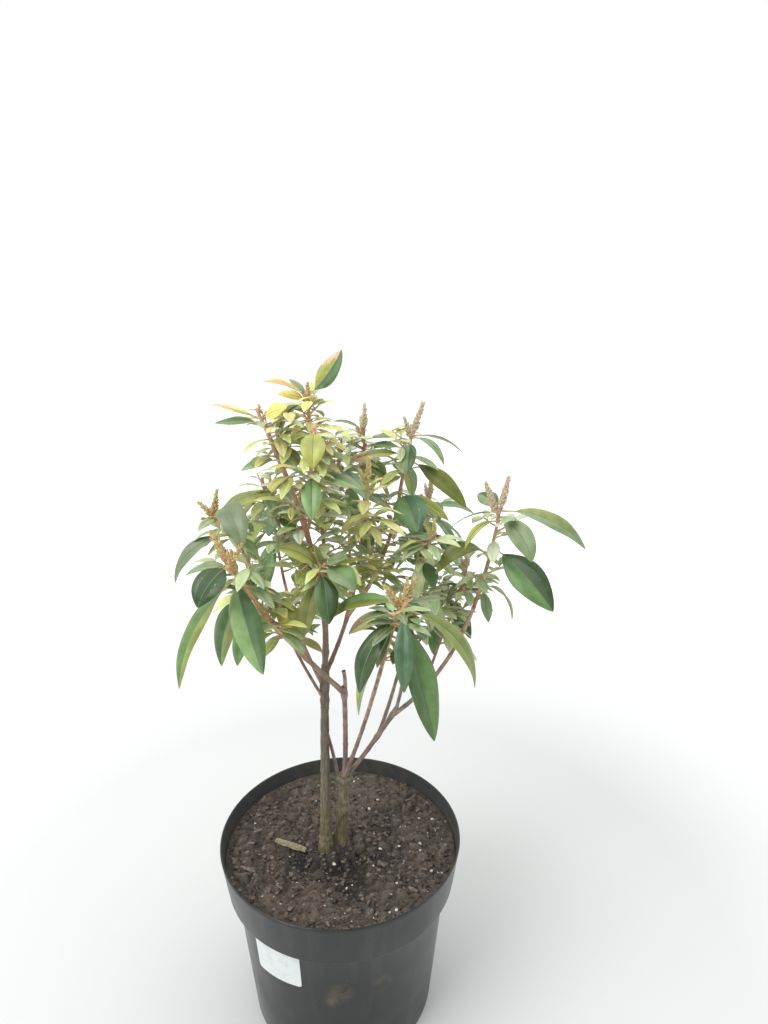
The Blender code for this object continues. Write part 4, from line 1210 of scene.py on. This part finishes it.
class Limb:
    """A tapering limb along a curve from its foot to its tip."""

    def __init__(self, foot, control, tip, foot_radius, tip_radius, flare=0.0):
        self.foot = Vector(foot)
        self.control = Vector(control)
        self.tip = Vector(tip)
        self.foot_radius = foot_radius
        self.tip_radius = tip_radius
        self.flare = flare
        self.length = (self.control - self.foot).length + (self.tip - self.control).length

    def point(self, t):
        return self.foot * (1 - t) ** 2 + self.control * 2 * t * (1 - t) + self.tip * t * t

    def direction(self, t):
        way = (self.control - self.foot) * (1 - t) + (self.tip - self.control) * t
        return way.normalized()

    def radius(self, t):
        root = self.flare * math.exp(-t * self.length / FLARE_HEIGHT)
        return self.foot_radius + (self.tip_radius - self.foot_radius) * t + root

    def frame(self, t):
        """The way along the limb, and two directions across it."""
        way = self.direction(t)
        across = way.cross(Vector((0, 1, 0))).normalized()
        return way, across, across.cross(way)

    def rings(self, sides, steps):
        """Rings of points round the limb."""
        rings = []
        for k in range(steps + 1):
            t = k / steps
            if self.flare and k < steps:
                t = t ** 1.8
            _, across, up = self.frame(t)
            rings.append([self.point(t) + out * self.radius(t) for out in around(across, up, sides)])
        return rings

    def ridge(self, run, angle, round_it, along, shift):
        """The bark's noise at a place along and round the limb."""
        place = Vector((round_it * math.cos(angle), round_it * math.sin(angle), run * along))
        return noise.noise(place + self.tip * shift)

    def bark_rings(self, sides, relief, knots, collar=0.0, back=0.0, share=1.0, ahead=0.0):
        """Fine rings with ridges along the limb, swellings at its knots and a collar at its foot."""
        rings = []
        steps = max(6, int(self.length / RING_PITCH))
        for k in range(steps + 1):
            t = k / steps
            run = t * self.length
            way, across, up = self.frame(t)
            middle = self.point(t)
            if k == 0:
                middle = middle - way * back
            if k == steps:
                middle = middle + way * ahead
            swell = sum(size * math.exp(-((run - place) / width) ** 2) for place, size, width in knots)
            radius = share * self.radius(t) * (1 + swell) + collar * math.exp(-run / COLLAR_LENGTH)
            ring = []
            for i in range(sides):
                angle = -2 * math.pi * i / sides
                rough = relief * (self.ridge(run, angle, *RIDGES) + 0.5 * self.ridge(run, angle, *CRACKS))
                out = across * math.cos(angle) + up * math.sin(angle)
                ring.append(middle + out * radius * (1 + rough))
            if self.flare and k == 0:
                for point in ring:
                    point.z = SOIL_TOP - FOOT_SUNK
            rings.append(ring)
        return rings


def plan_limbs():
    """Work out every limb's curve from its parent."""
    limbs = {}
    for name, (parent, at, tip, bend, foot_radius, tip_radius) in LIMBS.items():
        tip = Vector(tip) * MM
        if parent is None:
            foot = Vector((*FEET[name], 0)) * MM + Vector((0, 0, SOIL_TOP + GAP))
            control = Vector((foot.x, foot.y, (foot.z + tip.z) / 2))
            control += Vector(bend) * 2 * MM
            flare = FLARE
        elif at == 1:
            way = limbs[parent].direction(1)
            foot = limbs[parent].tip + way * GAP
            control = foot + way * (tip - foot).length * 0.4 + Vector(bend) * MM
            flare = 0.0
        else:
            foot = limbs[parent].point(at)
            control = (foot + tip) / 2 + Vector(bend) * 2 * MM
            flare = 0.0
        limbs[name] = Limb(foot, control, tip, foot_radius * MM, tip_radius * MM, flare)
    return limbs


def knots_of(name, limb, dice):
    """Swellings along a limb: where others spring from it, and old leaf nodes between."""
    knots = []
    for parent, at, *_ in LIMBS.values():
        if parent == name and at < 1:
            knots.append((at * limb.length, *FORK_SWELLING))
    run = dice.uniform(*NODE_SPACING) * MM
    while run < limb.length - NODES_END:
        knots.append((run, dice.uniform(0.06, 0.2), dice.uniform(0.8, 1.8) * MM))
        run += dice.uniform(*NODE_SPACING) * MM
    return knots


def make_limbs(limbs, finishes):
    """The stems and the boughs, with bark relief, each kind joined."""
    dice = random.Random("knots")
    stems = Bundle()
    boughs = Bundle()
    for name, limb in limbs.items():
        knots = knots_of(name, limb, dice)
        if name in FEET:
            stems.add(skin(limb.bark_rings(STEM_FINE_SIDES, STEM_RELIEF, knots)), "stem_bark")
        elif name == "cut_stub":
            knots = [(limb.length, *CUT_SWELLING)]
            rings = limb.bark_rings(BOUGH_FINE_SIDES, BOUGH_RELIEF, knots, COLLAR)
            last = (len(rings) - 1) * BOUGH_FINE_SIDES
            boughs.add(skin(rings), lambda number, last=last: "bough_bark" if number < last else "cut_wood")
        else:
            springs = LIMBS[name][1] < 1
            collar = COLLAR if springs else 0.0
            back = 0.0 if springs else OVERLAP
            ahead = GROWN_IN.get(name, 0)
            form = (BOUGH_FINE_SIDES, BOUGH_RELIEF, knots, collar, back, BOUGH_SHARE, ahead)
            boughs.add(skin(limb.bark_rings(*form)), "bough_bark")
    others = [name for name in limbs if name not in FEET]
    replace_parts(stems.make("stems", "stem_bark", finishes), *FEET)
    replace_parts(boughs.make("boughs", "bough_bark", finishes), *others)


class Leaf:
    """A leaf on its petiole: a midrib that droops from its rise, and a folded blade."""

    def __init__(self, root, stations, heading, rise, droop, length, width, turn):
        self.root = Vector(root)
        self.stations = stations
        self.ahead = pointing(heading, 0)
        self.beside = Vector((-self.ahead.y, self.ahead.x, 0))
        self.rise = math.radians(rise)
        self.droop = math.radians(droop) + 0.001
        self.length = length
        self.width = width
        self.turn = math.radians(turn)

    def rib(self, share):
        """Point on the midrib, with the directions across the blade and out of its face."""
        slope = self.rise - self.droop * share
        reach = self.length * (math.sin(self.rise) - math.sin(slope)) / self.droop
        height = self.length * (math.cos(slope) - math.cos(self.rise)) / self.droop
        point = self.root + self.ahead * reach + Vector((0, 0, height))
        way = self.ahead * math.cos(slope) + Vector((0, 0, math.sin(slope)))
        face = way.cross(self.beside)
        turn = self.turn * min(1, 3 * share)
        across = self.beside * math.cos(turn) + face * math.sin(turn)
        face = face * math.cos(turn) - self.beside * math.sin(turn)
        return point, across, face

    def rings(self, extra=0.0, blade_only=False):
        """The plain leaf that keeps its room, widened by the extra."""
        rings = []
        stations = [(0, PETIOLE_WIDTH / 2), (PETIOLE_SHARE, PETIOLE_WIDTH / 2)]
        for station in self.stations:
            share = PETIOLE_SHARE + (1 - PETIOLE_SHARE) * station
            stations.append((share, self.width / 2 * outline(station)))
        for share, half in stations[1 if blade_only else 0:]:
            point, across, face = self.rib(share)
            half += extra
            thick = LEAF_THICKNESS / 2 + extra
            lift = face * (half * LEAF_FOLD)
            ring = [point + across * half + lift, point + face * thick]
            ring += [point - across * half + lift, point - face * thick]
            rings.append(ring)
        point = self.rib(1)[0]
        tail = (point - self.rib(0.95)[0]).normalized()
        rings.append([point + tail * extra])
        return rings

    def petiole_rings(self):
        """The leaf's stalk, which runs out below the foot of the blade."""
        rings = []
        size = min(1, self.length / THICK_PETIOLE_LENGTH)
        for k in range(PETIOLE_STEPS + 1):
            share = PETIOLE_SHARE * 1.25 * k / PETIOLE_STEPS
            point, across, face = self.rib(share)
            radius = PETIOLE_WIDTH * (0.55 - 0.25 * k / PETIOLE_STEPS) * size
            sink = face * (MIDRIB_KEEL * 0.6 * k / PETIOLE_STEPS)
            outs = around(across, face, PETIOLE_SIDES, sense=1)
            rings.append([point - sink + out * radius for out in outs])
        return rings

    def blade_rings(self, count, wave):
        """Rings round the blade: over its top from one margin to the other, and back below."""
        rings = []
        size = min(1, self.length / THICK_BLADE_LENGTH)
        for k in range(count):
            station = (k + 0.35) / (count + 0.1)
            point, across, face = self.rib(PETIOLE_SHARE + (1 - PETIOLE_SHARE) * station)
            half = max(self.width / 2 * full_outline(station), 0.7 * MM * size)
            taper = 1 - 0.75 * station
            rib = min(MIDRIB * size * taper / half, 0.25)
            skin_depth = BLADE_SKIN * size * (1 - 0.5 * station)
            below = [(-1, 0), (-0.5, 0), (-2.2 * rib, 0), (-rib, 1)]
            below += [(-off, keel) for off, keel in below[::-1]]
            ring = []
            for off in (1, 0.68, 0.36, rib, -rib, -0.36, -0.68, -1):
                lift = self.bulge(off, station, wave, half)
                ring.append(point + across * off * half + face * lift)
            for off, keel in below:
                lift = self.bulge(off, station, wave, half) - skin_depth
                lift -= keel * MIDRIB_KEEL * size * taper
                ring.append(point + across * off * half + face * lift)
            rings.append(ring)
        rings.append([self.rib(1)[0]])
        return rings

    def bulge(self, off, station, wave, half):
        """How far the blade stands off its midrib's plane: fold, bulging halves, margin waves, veins.

        A point lies off the midrib by -1 to 1, and the wave has a phase and a size.
        """
        side = abs(off)
        fold = LEAF_FOLD * side + HALF_BULGE * 4 * side * (1 - side) - 0.1 * side ** 3
        phase, size = wave
        shift = 0.3 if off > 0 else 0
        swing = size * side ** 2 * math.sin(2 * math.pi * (1.6 * station + phase + shift))
        groove = 0.5 + 0.5 * math.cos(2 * math.pi * (VEINS * station - VEIN_SLANT * side))
        vein = VEIN_DEPTH * groove * math.sin(math.pi * min(1, side + 0.05))
        return half * (fold + swing - vein)


def outline(share):
    """Half width of a blade along its length, as a share of its widest."""
    return math.sin(math.pi * share ** 0.9)


def full_outline(share):
    """The same with fuller ends, as a real blade has."""
    return outline(share) ** FULLNESS


def bulk(shape):
    """A shape as a tree that finds what crosses it, with the middle and radius of its ball."""
    verts, faces = shape
    middle = sum(verts, Vector()) / len(verts)
    reach = max((v - middle).length for v in verts)
    return BVHTree.FromPolygons(verts, faces), middle, reach


class Space:
    """What is already grown, so that a new twig or leaf can be kept clear of it."""

    def __init__(self):
        self.shapes = []

    def add(self, owner, shape):
        self.shapes.append((owner, *bulk(shape)))

    def is_free(self, shape, owner, own=False):
        """Whether the shape touches nothing of the other owners, or nothing of its own."""
        tree, middle, reach = bulk(shape)
        for other, other_tree, other_middle, other_reach in self.shapes:
            if (other == owner) != own:
                continue
            if (other_middle - middle).length < reach + other_reach and tree.overlap(other_tree):
                return False
        return True


def spike_rings(root, heading, rise, length):
    """A slender spike of flower buds, thickest low down and pointed at its tip."""
    way = pointing(heading, rise)
    across = pointing(heading + 90, 0)
    up = across.cross(way)
    rings = []
    for k, (share, width) in enumerate(SPIKE_PROFILE):
        outs = around(across, up, SPIKE_SIDES, 0.5 * (k % 2))
        rings.append([root + way * share * length + out * width * length for out in outs])
    rings.append([root + way * length])
    return rings


def spindle(foot, way, length, radius, sides=5):
    """A pointed scale or bud."""
    across = way.cross(Vector((0.3, 0.9, 0.2))).normalized()
    up = across.cross(way)
    rings = []
    for share, width in SPINDLE_PROFILE:
        middle = foot + way * share * length
        rings.append([middle + out * width * radius for out in around(across, up, sides)])
    rings.append([foot + way * length])
    return skin(rings)


def in_photo(point):
    """Column and row of a point in the photograph, for the camera that took it."""
    tilt = math.radians(CAMERA_TILT)
    offset = point - Vector(CAMERA_PLACE)
    ahead = offset.y * math.sin(tilt) - offset.z * math.cos(tilt)
    up = offset.y * math.cos(tilt) + offset.z * math.sin(tilt)
    scale = CAMERA_LENS / SENSOR * PHOTO_SIZE[1] / ahead
    return PHOTO_SIZE[0] / 2 + scale * offset.x, PHOTO_SIZE[1] / 2 - scale * up


def hides_sky(points):
    """Whether any of the points lies in one of the crown's gaps as the photograph shows them."""
    for point in points:
        column, row = in_photo(point)
        for gap_column, gap_row, radius in SKY_GAPS.values():
            if math.hypot(column - gap_column, row - gap_row) < radius:
                return True
    return False


class Shoot:
    """One mass of foliage: a stem, its bud spikes and its leaves, in a space of its own."""

    def __init__(self, name, plan, limb):
        self.name = name
        self.plan = plan
        self.random = random.Random(name)
        self.paint = random.Random(name + " looks")
        way = limb.direction(1)
        foot = limb.tip + way * GAP
        tip = Vector(plan["tip"]) * MM
        control = foot + way * (tip - foot).length * 0.45
        self.stem = Limb(foot, control, tip, *SHOOT_RADII)
        self.limb_radius = limb.tip_radius
        self.spikes = []
        self.leaves = []
        self.twigs = []

    def add_spikes(self, space):
        space.add(self.name, skin(self.stem.rings(SHOOT_SIDES, SHOOT_STEPS)))
        for k, (heading, rise, length) in enumerate(self.plan["spikes"]):
            root = self.stem.point(SPIKE_TOP - SPIKE_STEP * k)
            space.add(self.name, skin(spike_rings(root, heading, rise, length * MM)))
            self.spikes.append((root, pointing(heading, rise), length * MM))

    def add_leaf(self, space, kind, tone, root, stations, heading, *form):
        """Add the leaf if there is room for it, at the heading or a little beside it."""
        for change in HEADINGS_TRIED:
            leaf = Leaf(root, stations, heading + change, *form)
            if kind == "small" and hides_sky([leaf.rib(share)[0] for share in (0.4, 0.6, 0.8, 1)]):
                continue
            if not space.is_free(skin(leaf.rings(CLEARANCE)), self.name):
                continue
            blade = skin(leaf.rings(CLEARANCE / 2, blade_only=True))
            if not space.is_free(blade, self.name, own=True):
                continue
            self.leaves.append((leaf, kind, tone))
            space.add(self.name, skin(leaf.rings()))
            return True
        return False

    def add_named_leaves(self, space):
        for at, heading, rise, droop, length, width, turn, tone in self.plan["named"]:
            form = (heading, rise, droop, length * MM, width * MM, turn)
            self.add_leaf(space, "named", tone, self.stem.point(at), NAMED_STATIONS, *form)

    def add_rule_leaves(self, space):
        """Leaves in a spiral up the stem, the lower ones larger and hanging more."""
        count = self.plan["leaves"]
        low, high = self.plan["rise"]
        start = self.random.uniform(0, 360)
        for k in range(count):
            share = (k + 0.5) / count
            at = FIRST_LEAF + (LAST_LEAF - FIRST_LEAF) * share ** 0.7
            length = self.plan["length"] * MM * (1.1 - 0.35 * share) * self.random.uniform(0.85, 1.1)
            rise = low + (high - low) * share + self.random.uniform(-10, 10)
            droop = self.plan["droop"] * self.random.uniform(0.7, 1.3)
            width = length * WIDTH_SHARE * self.random.uniform(0.8, 1.1)
            turn = self.random.uniform(-20, 20)
            heading = start + GOLDEN_ANGLE * k
            tone = self.paint.choice(self.plan["tones"])
            form = (heading, rise, droop, length, width, turn)
            self.add_leaf(space, "rule", tone, self.stem.point(at), RULE_STATIONS, *form)

    def add_side_twigs(self, space):
        """Short side twigs with small leaves, wherever the shoot still has room."""
        start = self.paint.uniform(0, 360)
        for k in range(SIDE_TWIGS):
            root = self.stem.point(SIDE_TWIGS_FROM + SIDE_TWIGS_SPAN * (k + 0.5) / SIDE_TWIGS)
            heading = start + GOLDEN_ANGLE * k
            self.add_side_twig(space, root, heading, self.plan["twig"], self.plan["tones"])

    def add_spray(self, space, limb, first, count, twig, tones):
        """The same twigs on the upper part of the limb that carries the shoot."""
        start = self.paint.uniform(0, 360)
        for k in range(count):
            root = limb.point(first + (SPRAY_END - first) * (k + 0.5) / count)
            self.add_side_twig(space, root, start + GOLDEN_ANGLE * k, twig, tones)

    def add_side_twig(self, space, root, heading, bark, tones):
        """One twig with its leaves, kept where its middle is free and a leaf finds room."""
        rise = self.paint.uniform(*SIDE_TWIG_RISE)
        length = self.paint.uniform(*SIDE_TWIG_LENGTH) * MM
        tip = root + pointing(heading, rise) * length
        middle = (root + tip) / 2 - Vector((0, 0, SIDE_TWIG_SAG)) * length
        twig = Limb(root, middle, tip, *SIDE_TWIG_RADII)
        free_part = Limb(*[twig.point(share) for share in FREE_PART], tip, *FREE_RADII)
        shape = skin(free_part.rings(SHOOT_SIDES, 2))
        if hides_sky([tip]):
            return
        if not (space.is_free(shape, self.name) and space.is_free(shape, self.name, own=True)):
            return
        space.add(self.name, skin(twig.rings(SHOOT_SIDES, 2)))
        grown = 0
        for j in range(SIDE_LEAVES):
            size = self.paint.uniform(*SIDE_LEAF_LENGTH) * MM
            rise = self.paint.uniform(*SIDE_LEAF_RISE)
            form = (heading - 60 + 80 * j, rise, SIDE_LEAF_DROOP, size, WIDTH_SHARE * size, 0)
            tone = self.paint.choice(tones)
            grown += self.add_leaf(space, "small", tone, twig.point(0.5 + 0.12 * j), RULE_STATIONS, *form)
        if grown:
            self.twigs.append((twig, bark))

    def draw_leaves(self, bundle):
        for leaf, kind, tone in self.leaves:
            count = FINE_RINGS[kind]
            wave = (self.paint.random(), MARGIN_WAVE * self.paint.uniform(0.3, 1.0))
            # Short leaves of the rule and all small ones take the lighter tones, painted light against the
            # shade inside the crown; long ones, out in the light, take the darker named tones.
            outer = kind == "rule" and leaf.length > OUTER_LENGTH
            family = "named_" if kind == "named" or outer else "leaf_"
            faces = leaf_faces(count, family, tone.split("/"), wave[0])
            bundle.add(skin(leaf.petiole_rings()), "twig_petiole")
            bundle.add(skin(leaf.blade_rings(count, wave)), faces)

    def draw_twigs(self, bundle):
        """The shoot's stem and side twigs, and the leaf buds at its tip and over its leaves."""
        tone = "twig_" + self.plan["twig"]
        self.stem.foot_radius = max(self.limb_radius, SHOOT_RADII[0])
        knots = []
        for k in range(1, 9):
            knots.append((0.12 * self.stem.length * k, self.paint.uniform(0.1, 0.22), 1.1 * MM))
        rings = self.stem.bark_rings(SHOOT_FINE_SIDES, SHOOT_RELIEF, knots, 0.0, OVERLAP)
        bundle.add(skin(rings), tone)
        bundle.add(spindle(self.stem.point(0.98), self.stem.direction(1), *TIP_BUD, 7), tone)
        for twig, bark in self.twigs:
            rings = twig.bark_rings(TWIG_FINE_SIDES, TWIG_RELIEF, [], TWIG_COLLAR)
            bundle.add(skin(rings), "twig_" + bark)
        for leaf, kind, _ in self.leaves:
            if kind != "small":
                above = leaf.root + Vector((0, 0, AXIL_OFFSET)) + leaf.ahead * AXIL_OFFSET
                way = (leaf.ahead * 0.6 + Vector((0, 0, 1))).normalized()
                bundle.add(spindle(above, way, *AXIL_BUD), tone)

    def draw_buds(self, bundle):
        """The bud spikes: a thin axis covered with scales that lean out less towards its tip."""
        kind = "bud_" + self.plan["buds"]
        for root, way, length in self.spikes:
            tip = root + way * length * 0.94
            axis = Limb(root, (root + tip) / 2, tip, *AXIS_RADII)
            bundle.add(skin(axis.rings(6, 5)), kind + "_tip")
            count = int(length / SCALE_EVERY)
            for k in range(count):
                share = 0.12 + 0.84 * k / count
                out = (pointing(GOLDEN_ANGLE * k, 0).cross(way)).normalized()
                spread = self.paint.uniform(-SCALE_LEAN_SPREAD, SCALE_LEAN_SPREAD)
                lean = math.radians(SCALE_LEAN - SCALE_LEAN_LOST * share + spread)
                toward = way * math.cos(lean) + out * math.sin(lean)
                size = (0.12 * length + 2.2 * MM) * (1.15 - 0.55 * share) * self.paint.uniform(0.85, 1.15)
                tone = kind if self.paint.random() < 0.62 else kind + "_tip"
                bundle.add(spindle(axis.point(share), toward, size, 0.24 * size), tone)


def leaf_faces(count, family, tones, phase):
    """Which finish each face of a fine blade takes, from its number in the skin.

    The tip tone reaches further down the margins than along the midrib, with a wavy edge. A
    fourth word keeps it to the left half.
    """
    left, right, tip, one_half = (tones + tones[:1] * (len(tones) == 1) + [None, None])[:4]
    rib = [family + "rib"]
    under = ["leaf_under"] * 3
    strips = [family + left] * 3 + rib + [family + right] * 3 + under + rib * 3 + under
    depth = (0, 1, 2, 3, 2, 1, 0)
    tipped = (0, 1, 2) if one_half else (0, 1, 2, 4, 5, 6)

    def pick(number):
        ring, strip = divmod(number, 16)
        if tip and strip in tipped and ring < count:
            edge = TIP_TONE_FROM[depth[strip]] + 0.04 * math.sin(7 * phase + 2.1 * strip)
            if ring >= edge * count:
                return family + tip
        return strips[strip]

    return pick


def grow_shoots(limbs):
    """Grow every shoot: stems and spikes, named leaves, the rule's leaves, then side twigs."""
    space = Space()
    for name, limb in limbs.items():
        sides = STEM_SIDES if name in FEET else LIMB_SIDES
        space.add("limbs", skin(limb.rings(sides, LIMB_STEPS)))
    shoots = [Shoot(name, plan, limbs[plan["limb"]]) for name, plan in SHOOTS.items()]
    for shoot in shoots:
        shoot.add_spikes(space)
    for shoot in shoots:
        shoot.add_named_leaves(space)
    for shoot in shoots:
        shoot.add_rule_leaves(space)
    for shoot in shoots:
        shoot.add_side_twigs(space)
    for shoot in shoots:
        if shoot.plan["limb"] in SPRAYS:
            shoot.add_spray(space, limbs[shoot.plan["limb"]], *SPRAYS[shoot.plan["limb"]])
    return shoots


def side_of(shoot):
    """Which part of the crown a shoot belongs to: rear, left, middle or right."""
    x, y, _ = shoot.plan["tip"]
    if y > CROWN_MIDDLE:
        return "rear"
    if abs(x) < CROWN_MIDDLE:
        return "middle"
    return "left" if x < 0 else "right"


def make_shoots(shoots, finishes):
    """The leaves of each part of the crown, then all twigs and all buds."""
    for side in ("left", "middle", "right", "rear"):
        group = [shoot for shoot in shoots if side_of(shoot) == side]
        leaves = Bundle()
        for shoot in group:
            shoot.draw_leaves(leaves)
        piece = leaves.make("leaves_" + side, "foliage", finishes)
        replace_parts(piece, *[shoot.name for shoot in group])
    twigs = Bundle()
    buds = Bundle()
    for shoot in shoots:
        shoot.draw_twigs(twigs)
        shoot.draw_buds(buds)
    twigs.make("twigs", "foliage", finishes)
    buds.make("flower_buds", "foliage", finishes)


def make_floor():
    mesh = bpy.data.meshes.new("floor")
    half = FLOOR_SIZE / 2
    corners = [(-half, -half, 0), (half, -half, 0), (half, half, 0), (-half, half, 0)]
    mesh.from_pydata(corners, [], [(0, 1, 2, 3)])
    mesh.materials.append(studio_floor())
    add_object("floor", mesh)


def make_light(name, place, turn, size, power):
    light = bpy.data.lights.new(name, "AREA")
    light.size = size
    light.energy = power
    obj = add_object(name, light)
    obj.location = place
    obj.rotation_euler = [math.radians(a) for a in turn]


def make_lights():
    """A soft key from the upper left and a white surround, dimmer on the viewer's side."""
    for name, (place, turn, size, power) in LIGHTS.items():
        make_light(name, place, turn, size, power)
    world = bpy.data.worlds.new("surround")
    world.use_nodes = True
    nodes = Nodes(world.node_tree)
    direction = nodes.node("ShaderNodeTexCoord", output="Generated")
    ahead = nodes.node("ShaderNodeSeparateXYZ", None, {0: direction}, "Y")
    backdrop = world.node_tree.nodes["Background"]
    light = nodes.blend(nodes.ramp(ahead, *SURROUND_TURNS), *SURROUND)
    nodes.set(backdrop.inputs["Color"], light)
    nodes.set(backdrop.inputs["Strength"], 1.0)
    bpy.context.scene.world = world


def make_camera():
    data = bpy.data.cameras.new("camera")
    data.sensor_width = SENSOR
    data.lens = CAMERA_LENS
    data.clip_start = 0.01
    camera = add_object("camera", data)
    camera.location = CAMERA_PLACE
    camera.rotation_euler = (math.radians(CAMERA_TILT), 0, 0)
    bpy.context.scene.camera = camera
    bpy.context.scene.view_settings.view_transform = "Standard"


def main():
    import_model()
    finishes = make_finishes()
    for make in (make_pot, make_soil, make_crumbs, make_perlite, make_fibres, make_chips, make_label):
        make(finishes)
    limbs = plan_limbs()
    make_limbs(limbs, finishes)
    make_shoots(grow_shoots(limbs), finishes)
    make_floor()
    make_lights()
    make_camera()


main()
